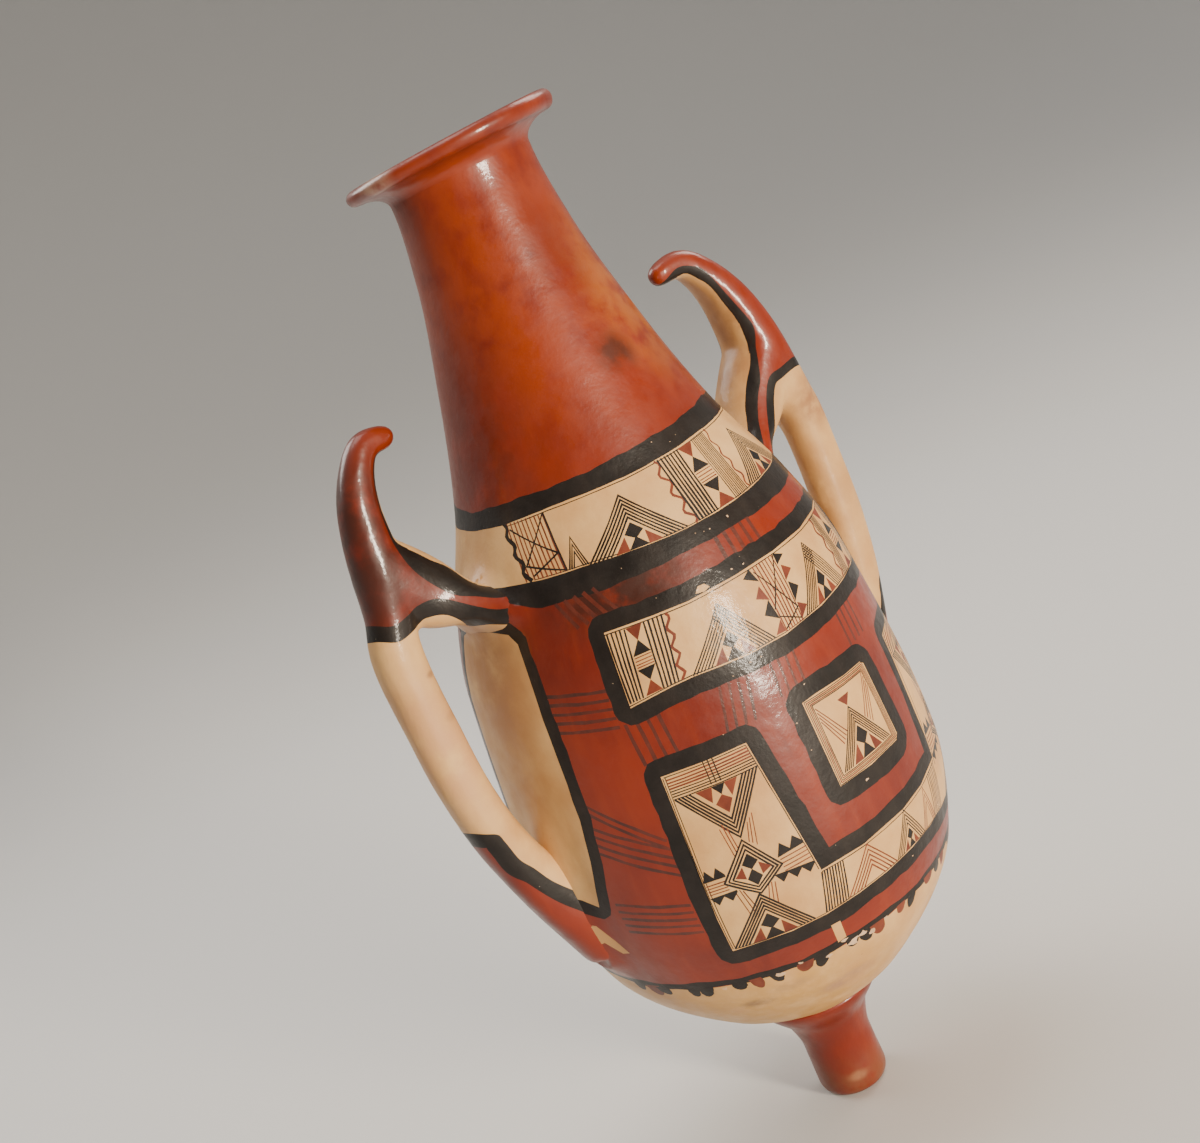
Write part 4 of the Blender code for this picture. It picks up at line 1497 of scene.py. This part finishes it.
@dataclass
class Handle:
    """A handle's piece: strap, horn and arm in one, faired into the body and painted."""

    name: str
    shape: HandleShape
    outline: Outline
    swell_across: float = 60.0
    swell_up: float = 1.7
    skin: float = 0.0003
    root_depth: float = 0.6
    edge_sway: float = 0.0004
    lining_sways: Point = (0.0005, 0.0003)
    lining_start: float = 0.16
    lining_gap: float = 0.0012

    def swept(self, rings: np.ndarray) -> bpy.types.Mesh:
        """A closed tube with squared oval sections, on the handle's side of the jar.

        Args:
            rings: Radius, height, half thickness and half width of each ring.

        Returns:
            The tube.
        """
        shape = self.shape
        angles = np.linspace(0.0, 2.0 * math.pi, shape.sides, endpoint=False)
        power = 2.0 / shape.squareness
        along = np.gradient(rings[:, :2], axis=0)
        along /= np.linalg.norm(along, axis=1)[:, None]
        corner = np.sign(np.cos(angles)) * np.abs(np.cos(angles)) ** power
        breadth = np.sign(np.sin(angles)) * np.abs(np.sin(angles)) ** power
        out = rings[:, 2:3] * corner[None, :]
        places = np.stack([
            shape.side.value * (rings[:, 0:1] - out * along[:, 1:2]),
            rings[:, 3:4] * breadth[None, :],
            rings[:, 1:2] + out * along[:, 0:1],
        ], -1).reshape(-1, 3)
        count = shape.sides
        faces = [
            (row * count + i, row * count + (i + 1) % count,
             (row + 1) * count + (i + 1) % count, (row + 1) * count + i)
            for row in range(len(rings) - 1) for i in range(count)
        ]
        faces += [tuple(range(count))[::-1], tuple(range(len(places) - count, len(places)))]
        mesh = bpy.data.meshes.new(self.name)
        mesh.from_pydata(places.tolist(), [], faces)
        return mesh

    def blended(self) -> bpy.types.Mesh:
        """Joins the limbs into one skin with soft creases where they meet.

        Returns:
            The skin.
        """
        work = bmesh.new()
        for rings in self.shape.limbs(self.outline):
            limb = self.swept(rings)
            work.from_mesh(limb)
            bpy.data.meshes.remove(limb)
        bmesh.ops.recalc_face_normals(work, faces=work.faces)
        mesh = bpy.data.meshes.new(self.name)
        work.to_mesh(mesh)
        work.free()
        former = added(self.name + "_former", mesh)
        remesh = former.modifiers.new("Skin", "REMESH")
        remesh.mode = "VOXEL"
        remesh.voxel_size = self.shape.voxel
        smooth = former.modifiers.new("Fairing", "SMOOTH")
        smooth.factor = 0.5
        smooth.iterations = 7
        evaluated = former.evaluated_get(bpy.context.evaluated_depsgraph_get())
        skin = bpy.data.meshes.new_from_object(evaluated)
        bpy.data.objects.remove(former)
        bpy.data.meshes.remove(mesh)
        return skin

    def fair(self, work: bmesh.types.BMesh) -> None:
        """Spreads the roots where they meet the body, and cuts off what lies inside its wall.

        Args:
            work: The handle's mesh, which is changed.
        """
        work.normal_update()
        places = np.array([vertex.co[:] for vertex in work.verts])
        normals = np.array([vertex.normal[:] for vertex in work.verts])
        places = places + normals * self.shape.fillet_rise(self.body_depth(places))[:, None]
        swell = self.outline.uneven(self.swell_across * places[:, 1], self.swell_up * places[:, 2])
        places = places + normals * (self.outline.unevenness * swell - self.skin)[:, None]
        for vertex, place in zip(work.verts, places):
            vertex.co = place
        wall = self.body_depth(places) < -self.root_depth * self.shape.wall
        buried = [v for v, inside in zip(work.verts, wall) if inside]
        bmesh.ops.delete(work, geom=buried, context="VERTS")

    def body_depth(self, places: np.ndarray) -> np.ndarray:
        """Distance from the body's outer side, less than nought inside it.

        Args:
            places: Points in metres.

        Returns:
            One distance for each point.
        """
        radius, slope = self.outline.radius(places[:, 2])
        return (np.hypot(places[:, 0], places[:, 1]) - radius) / np.hypot(1.0, slope)

    def side_depth(self, places: np.ndarray, ring: np.ndarray) -> np.ndarray:
        """How far points stand inside a shape that is drawn on the handle's side view.

        Args:
            places: Points in metres.
            ring: The shape's corners, as distances from the jar's axis and heights.

        Returns:
            Distances from the shape's edge, less than nought outside it.
        """
        flat = self.shape.side_view(places)
        flat[:, 1] += self.edge_sway * np.sin(flat[:, 0] * 330.0 + places[:, 1] * 160.0)
        following = np.roll(ring, -1, axis=0)
        edge = following - ring
        reach = flat[:, None, :] - ring[None]
        share = np.clip((reach * edge).sum(-1) / (edge ** 2).sum(-1), 0.0, 1.0)
        gap = np.linalg.norm(reach - share[..., None] * edge[None], axis=-1).min(1)
        upright = (ring[None, :, 1] > flat[:, None, 1]) != (following[None, :, 1] > flat[:, None, 1])
        rise = np.where(np.abs(edge[:, 1]) < 1e-9, 1e-9, edge[:, 1])
        meets = ring[:, 0] + (flat[:, None, 1] - ring[:, 1]) * edge[:, 0] / rise
        inside = (upright & (flat[:, None, 0] < meets)).sum(1) % 2 == 1
        return np.where(inside, gap, -gap)

    def cream_depth(self, places: np.ndarray) -> np.ndarray:
        """How far points stand inside the cream part of the strap."""
        return self.side_depth(places, self.shape.cream_area())

    def crest_depth(self, places: np.ndarray) -> np.ndarray:
        """How far points stand inside the black band along the horn's concave side."""
        return self.side_depth(places, self.shape.crest_area())

    def lining_depth(self, places: np.ndarray) -> np.ndarray:
        """How far points stand inside the cream lining of the horn's concave side.

        Args:
            places: Points in metres.

        Returns:
            Distances from the lining's edge, less than nought outside it.
        """
        rings = self.shape.inner_line(self.outline)
        nearest = self.shape.nearest_ring(self.shape.side_view(places), rings)
        taper = np.clip(nearest / (self.lining_start * len(rings)), 0.0, 1.0)
        slow, quick = self.lining_sways
        sway = slow * np.sin(places[:, 2] * 230.0) + quick * np.sin(places[:, 0] * 510.0)
        width = self.shape.lining * rings[nearest, 3] * taper + sway
        return np.minimum(width - np.abs(places[:, 1]), self.crest_depth(places) - self.lining_gap)

    def scored(self, work: bmesh.types.BMesh, level: np.ndarray) -> None:
        """Cuts the mesh's faces along the line where a level passes nought.

        Args:
            work: The mesh, which is changed.
            level: The level at each vertex.
        """
        work.verts.ensure_lookup_table()
        work.verts.index_update()
        crossing = [
            (edge, edge.verts[0], level[edge.verts[0].index], level[edge.verts[1].index])
            for edge in work.edges
            if (level[edge.verts[0].index] < 0.0) != (level[edge.verts[1].index] < 0.0)
        ]
        fresh = set()
        for edge, start, first, second in crossing:
            share = min(max(first / (first - second), 0.04), 0.96)
            fresh.add(bmesh.utils.edge_split(edge, start, share)[1])
        for face in list(work.faces):
            cut = [vertex for vertex in face.verts if vertex in fresh]
            if len(cut) == 2:
                bmesh.utils.face_split(face, cut[0], cut[1])

    def paint(self, work: bmesh.types.BMesh) -> None:
        """Cuts the paint's edges into the mesh and gives each face its paint.

        Args:
            work: The mesh, which is changed.
        """
        shape = self.shape
        for measure, edge in (
            (self.cream_depth, 0.0), (self.cream_depth, -shape.ring),
            (self.crest_depth, 0.0), (self.lining_depth, 0.0),
        ):
            work.verts.ensure_lookup_table()
            places = np.array([vertex.co[:] for vertex in work.verts])
            self.scored(work, measure(places) - edge)
        middles = np.array([face.calc_center_median()[:] for face in work.faces])
        depths = [measure(middles) for measure in (self.cream_depth, self.crest_depth, self.lining_depth)]
        for face, cream, crest, lining in zip(work.faces, *depths):
            if cream > 0.0 or (lining > 0.0 and cream < -shape.ring):
                paint = Paint.CREAM
            elif cream > -shape.ring or crest > 0.0:
                paint = Paint.BLACK
            else:
                paint = Paint.RED
            face.material_index = paint.value

    def build(self, palette: list[bpy.types.Material]) -> bpy.types.Object:
        """Builds the handle.

        Args:
            palette: Materials in the order of Paint.

        Returns:
            The piece.
        """
        mesh = self.blended()
        work = bmesh.new()
        work.from_mesh(mesh)
        self.fair(work)
        self.paint(work)
        work.to_mesh(mesh)
        work.free()
        return finished_piece(self.name, mesh, palette)


# Body and foot


@dataclass
class Foot:
    """The solid stub foot: red, with a blunt worn end."""

    outline: Outline
    flat: float = 0.0158
    edge: Point = (0.0204, 0.0070)
    waist: Point = (0.0202, 0.0300)
    flare: Point = (0.0240, 0.0460)
    top: Point = (0.0365, 0.0660)
    skin: float = 0.0002
    fade: float = 0.02
    wobble: float = 0.014
    columns: int = 96

    def side(self) -> list[Point]:
        """Points of the foot's side from its worn edge to the crease.

        Returns:
            Radius and height of each.
        """
        curve = Outline(
            radii=(self.edge[0], self.waist[0], self.flare[0], self.top[0]),
            heights=(self.edge[1], self.waist[1], self.flare[1], self.top[1]),
        )
        heights = np.linspace(self.edge[1], self.top[1], 26)
        return list(zip((curve.radius(heights)[0] - self.skin).tolist(), heights.tolist()))

    def build(self, palette: list[bpy.types.Material]) -> bpy.types.Object:
        """Builds the foot.

        Args:
            palette: Materials in the order of Paint.

        Returns:
            The piece.
        """
        angles = np.linspace(0.0, 2.0 * math.pi, self.columns, endpoint=False)
        profile = [(POLE, 0.0), (0.6 * self.flat, 0.0), (self.flat, 0.0)]
        profile += quarter_turn(profile[-1], (self.edge[0] - self.skin, self.edge[1]), True)
        profile += self.side()[1:] + [(self.top[0] - 0.004, self.top[1] + 0.001)]
        places, faces = turned_rows(profile, angles)
        turn = np.arctan2(places[:, 0], -places[:, 1])
        height = places[:, 2]
        worn = np.clip(height / self.fade, 0.0, 1.0) * np.clip((self.top[1] - height) / self.fade, 0.0, 1.0)
        ease = 1.0 + self.wobble * worn * (self.outline.uneven(turn, 2.0 * height) - 1.0)
        places[:, :2] *= ease[:, None]
        mesh = bpy.data.meshes.new("foot")
        mesh.from_pydata(places.tolist(), [], faces + [tuple(range(self.columns))[::-1]])
        return finished_piece("foot", mesh, palette)


@dataclass
class Body:
    """The hollow body: its painted outer side, the lip, and the bare hollow."""

    outline: Outline
    handles: tuple[HandleShape, ...]
    pattern: Brush
    columns: int = 144
    row_step: float = 0.00405
    root_step: float = 0.0022
    root_turn: float = 1.1
    strap_patch: tuple[float, float, float] = (262.0, 385.0, 13.0)
    arm_patch: tuple[float, float, float] = (585.0, 655.0, 25.0)
    wall: float = 0.0065
    floor: float = 0.0760
    lip_radius: float = 0.0576
    lip_height: float = 0.0180
    lip_thickness: float = 0.0092
    lip_skin: float = 0.0004
    rim_skin: float = 0.0003
    red_throat: float = 0.012
    normal_steps: Point = (0.01, 0.0001)

    def outer(self, angle: np.ndarray, height: np.ndarray) -> np.ndarray:
        """Points of the outer side, swelling out into the roots of the handles.

        Args:
            angle: Radians from the front towards +X.
            height: Heights in metres.

        Returns:
            The points.
        """
        places = self.outline.surface(angle, height)
        slope = self.outline.radius(height)[1]
        length = np.hypot(1.0, slope)
        normal = np.stack([np.sin(angle) / length, -np.cos(angle) / length, -slope / length], -1)
        for shape in self.handles:
            close = (places[:, 0] * shape.side.value > 0.03) & (np.abs(places[:, 1]) < 0.06)
            index = np.nonzero(close)[0]
            if not len(index):
                continue
            depth = np.min([
                np.abs(shape.depth(places[index], rings)) for rings in shape.limbs(self.outline)
            ], axis=0)
            places[index] += normal[index] * shape.fillet_rise(depth)[:, None]
        return self.outline.tipped(places)

    def seeds(self) -> list[Point]:
        """Even points over the unrolled outer side, closer together at the handles' roots.

        Returns:
            The points, in degrees and marks.
        """
        plan = self.pattern
        rows = int(round((plan.top - plan.bottom) / (self.row_step / MARK)))
        heights = np.linspace(plan.bottom, plan.top, rows + 1)
        columns = np.linspace(plan.left, plan.left + FULL_TURN, self.columns + 1)
        points = [(float(x), float(y)) for y in heights for x in columns]
        for middle in (plan.front - 90.0, plan.front + 90.0):
            for low, high, half in (self.strap_patch, self.arm_patch):
                levels = np.arange(low, high, self.root_step / MARK)
                turns = np.arange(-half, half, self.root_turn)
                points += [(float(middle + x), float(y)) for y in levels for x in turns]
        return points

    def build(self, palette: list[bpy.types.Material]) -> bpy.types.Object:
        """Builds the body.

        Args:
            palette: Materials in the order of Paint.

        Returns:
            The piece.
        """
        points, faces, paints = self.pattern.cut(self.seeds(), self.columns)
        angle = np.radians(points[:, 0] - self.pattern.front)
        height = points[:, 1] * MARK
        places = self.outer(angle, height)
        turn, rise = self.normal_steps
        east = self.outer(angle + turn, height) - self.outer(angle - turn, height)
        north = self.outer(angle, height + rise) - self.outer(angle, height - rise)
        normals = np.cross(east, north)
        normals /= np.linalg.norm(normals, axis=1)[:, None]
        rim_places, rim_faces = self.rim_and_hollow()
        offset = len(places)
        mesh = bpy.data.meshes.new("body")
        mesh.from_pydata(
            np.vstack([places, rim_places]).tolist(), [],
            faces + [tuple(index + offset for index in face) for face in rim_faces],
        )
        for face, paint in zip(mesh.polygons, paints + self.rim_paints(rim_places, rim_faces)):
            face.material_index = paint.value
        piece = finished_piece("body", mesh, palette)
        buffer = np.empty(len(mesh.vertices) * 3)
        mesh.vertex_normals.foreach_get("vector", buffer)
        plain = buffer.reshape(-1, 3)
        plain[:offset] = normals
        mesh.normals_split_custom_set_from_vertices(plain.tolist())
        return piece

    def rim_and_hollow(self) -> tuple[np.ndarray, list[tuple[int, ...]]]:
        """The lip over the throat, and the hollow down to its floor.

        Returns:
            The points and the faces.
        """
        angles = np.radians(np.linspace(0.0, FULL_TURN, self.columns, endpoint=False)
                            + self.pattern.left - self.pattern.front)
        throat = self.outline.heights[-1]
        start = (self.outline.radii[-1] - self.outline.skin, throat)
        centre = self.lip_radius - 0.5 * self.lip_thickness
        rim = throat + self.lip_height
        profile = [start]
        profile += quarter_turn(start, (centre, rim - self.lip_thickness), False, 10)
        widest = (self.lip_radius - self.lip_skin, rim - 0.5 * self.lip_thickness)
        profile += quarter_turn(profile[-1], widest, True)
        profile += quarter_turn(profile[-1], (centre, rim - self.rim_skin), False)
        heights = np.linspace(self.floor, throat, 70)[::-1]
        radius, slope = self.outline.radius(heights)
        length = np.hypot(1.0, slope)
        inner = list(zip((radius - self.wall / length).tolist(),
                         (heights + self.wall * slope / length).tolist()))
        profile += quarter_turn(inner[0], profile[-1], False, 10)[::-1][1:] + inner
        profile = [point for point in profile if point[1] > self.floor or point[0] > 0.035]
        profile += [(0.02, self.floor), (POLE, self.floor)]
        places, faces = turned_rows(profile, angles)
        faces.append(tuple(range(len(places) - self.columns, len(places))))
        return self.outline.tipped(places), faces

    def rim_paints(self, places: np.ndarray, faces: list[tuple[int, ...]]) -> list[Paint]:
        """Red over the lip and a little way into the throat, then bare clay.

        Args:
            places: Points of the lip and the hollow.
            faces: Their faces.

        Returns:
            The paint of each face.
        """
        edge = self.outline.heights[-1] - self.red_throat
        return [Paint.CLAY if places[face[0], 2] < edge else Paint.RED for face in faces]


# The stage


@dataclass
class Studio:
    """A pale floor that rises into a pale wall all round, soft lamps, and the camera."""

    floor_rings: tuple[float, ...] = (0.0005, 0.4, 0.9)
    floor_radius: float = 1.5
    wall_radius: float = 6.0
    wall_height: float = 6.0
    floor_tone: tuple[float, float, float, float] = (0.62, 0.61, 0.59, 1.0)
    sky_tone: tuple[float, float, float, float] = (1.0, 0.97, 0.93, 1.0)
    sky_strength: float = 0.45
    belly_height: float = 0.26
    camera_place: tuple[float, float, float] = (-0.42332, -0.67745, 0.50607)
    camera_aim: tuple[float, float, float] = (0.50035, 0.83897, -0.21395)
    roll: float = -0.4182
    lens: float = 46.5

    def build(self) -> None:
        """Builds the floor, the lamps, the sky and the camera."""
        self.floor()
        self.lamps()
        self.camera()

    def floor(self) -> None:
        """Makes the floor and wall as one turned surface with a plain matt finish."""
        angles = np.linspace(0.0, 2.0 * math.pi, 96, endpoint=False)
        profile = [(reach, 0.0) for reach in (*self.floor_rings, self.floor_radius)]
        profile += quarter_turn(profile[-1], (self.wall_radius, self.wall_height), True, 24)
        places, faces = turned_rows(profile, angles)
        mesh = bpy.data.meshes.new("studio_floor")
        mesh.from_pydata(places.tolist(), [], [face[::-1] for face in faces])
        stage = added("studio_floor", mesh)
        for face in mesh.polygons:
            face.use_smooth = True
        material = bpy.data.materials.new("pale_floor")
        shading = Shading(material)
        shading.finish(shading.add("ShaderNodeBsdfPrincipled", Base_Color=self.floor_tone, Roughness=0.8))
        mesh.materials.append(material)

    def lamp(self, name: str, place: tuple[float, float, float], size: Point, power: float,
             colour: Colour, spread: float) -> None:
        """Adds one soft lamp that faces the jar's belly.

        Args:
            name: The lamp's name.
            place: Its middle.
            size: Its width and height.
            power: Its strength in watts.
            colour: Its tint.
            spread: The angle of its beam in degrees.
        """
        data = bpy.data.lights.new(name, "AREA")
        data.shape = "RECTANGLE"
        data.size, data.size_y = size
        data.energy = power
        data.color = colour
        data.spread = math.radians(spread)
        lamp = added(name, data)
        lamp.location = place
        away = Vector(place) - Vector((0.0, 0.0, self.belly_height))
        lamp.rotation_mode = "QUATERNION"
        lamp.rotation_quaternion = away.to_track_quat("Z", "Y")
        lamp.visible_camera = False

    def lamps(self) -> None:
        """Places the key at the painted front's right, two weak fills, a top lamp and a pale sky."""
        self.lamp("key", (0.17, -2.15, 0.50), (0.30, 0.74), 17.0, (1.0, 0.87, 0.70), 75.0)
        self.lamp("right_fill", (2.1, 0.2, 2.1), (1.5, 1.5), 18.0, (1.0, 0.92, 0.82), 110.0)
        self.lamp("top", (-0.2, 0.3, 3.2), (1.8, 1.8), 34.0, (1.0, 0.95, 0.9), 160.0)
        self.lamp("back_fill", (-0.7, 2.1, 2.1), (1.5, 1.5), 18.0, (1.0, 0.95, 0.9), 110.0)
        world = bpy.data.worlds.new("pale_sky")
        world.use_nodes = True
        sky = world.node_tree.nodes["Background"]
        sky.inputs["Color"].default_value = self.sky_tone
        sky.inputs["Strength"].default_value = self.sky_strength
        bpy.context.scene.world = world

    def camera(self) -> None:
        """Sets the camera at the photograph's place, aim, lens and roll."""
        data = bpy.data.cameras.new("view")
        data.sensor_fit = "HORIZONTAL"
        data.sensor_width = 36.0
        data.lens = self.lens
        data.clip_start, data.clip_end = 0.01, 30.0
        camera = added("view", data)
        camera.location = self.camera_place
        camera.rotation_mode = "QUATERNION"
        level = Vector(self.camera_aim).to_track_quat("-Z", "Y")
        camera.rotation_quaternion = level @ Quaternion((0.0, 0.0, 1.0), self.roll)
        bpy.context.scene.camera = camera


# The whole jar


def main() -> None:
    """Builds the jar and its studio."""
    logging.basicConfig(level=logging.INFO, format="%(name)s: %(message)s")
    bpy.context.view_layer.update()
    outline = Outline()
    palette = Palette().materials()
    brush = Brush(outline, random.Random(5))
    Pattern(brush).draw()
    Body(outline, (LEFT_SHAPE, RIGHT_SHAPE), brush).build(palette)
    Foot(outline).build(palette)
    Handle("left_handle", LEFT_SHAPE, outline).build(palette)
    Handle("right_handle", RIGHT_SHAPE, outline).build(palette)
    Studio().build()


if __name__ == "__main__":
    main()
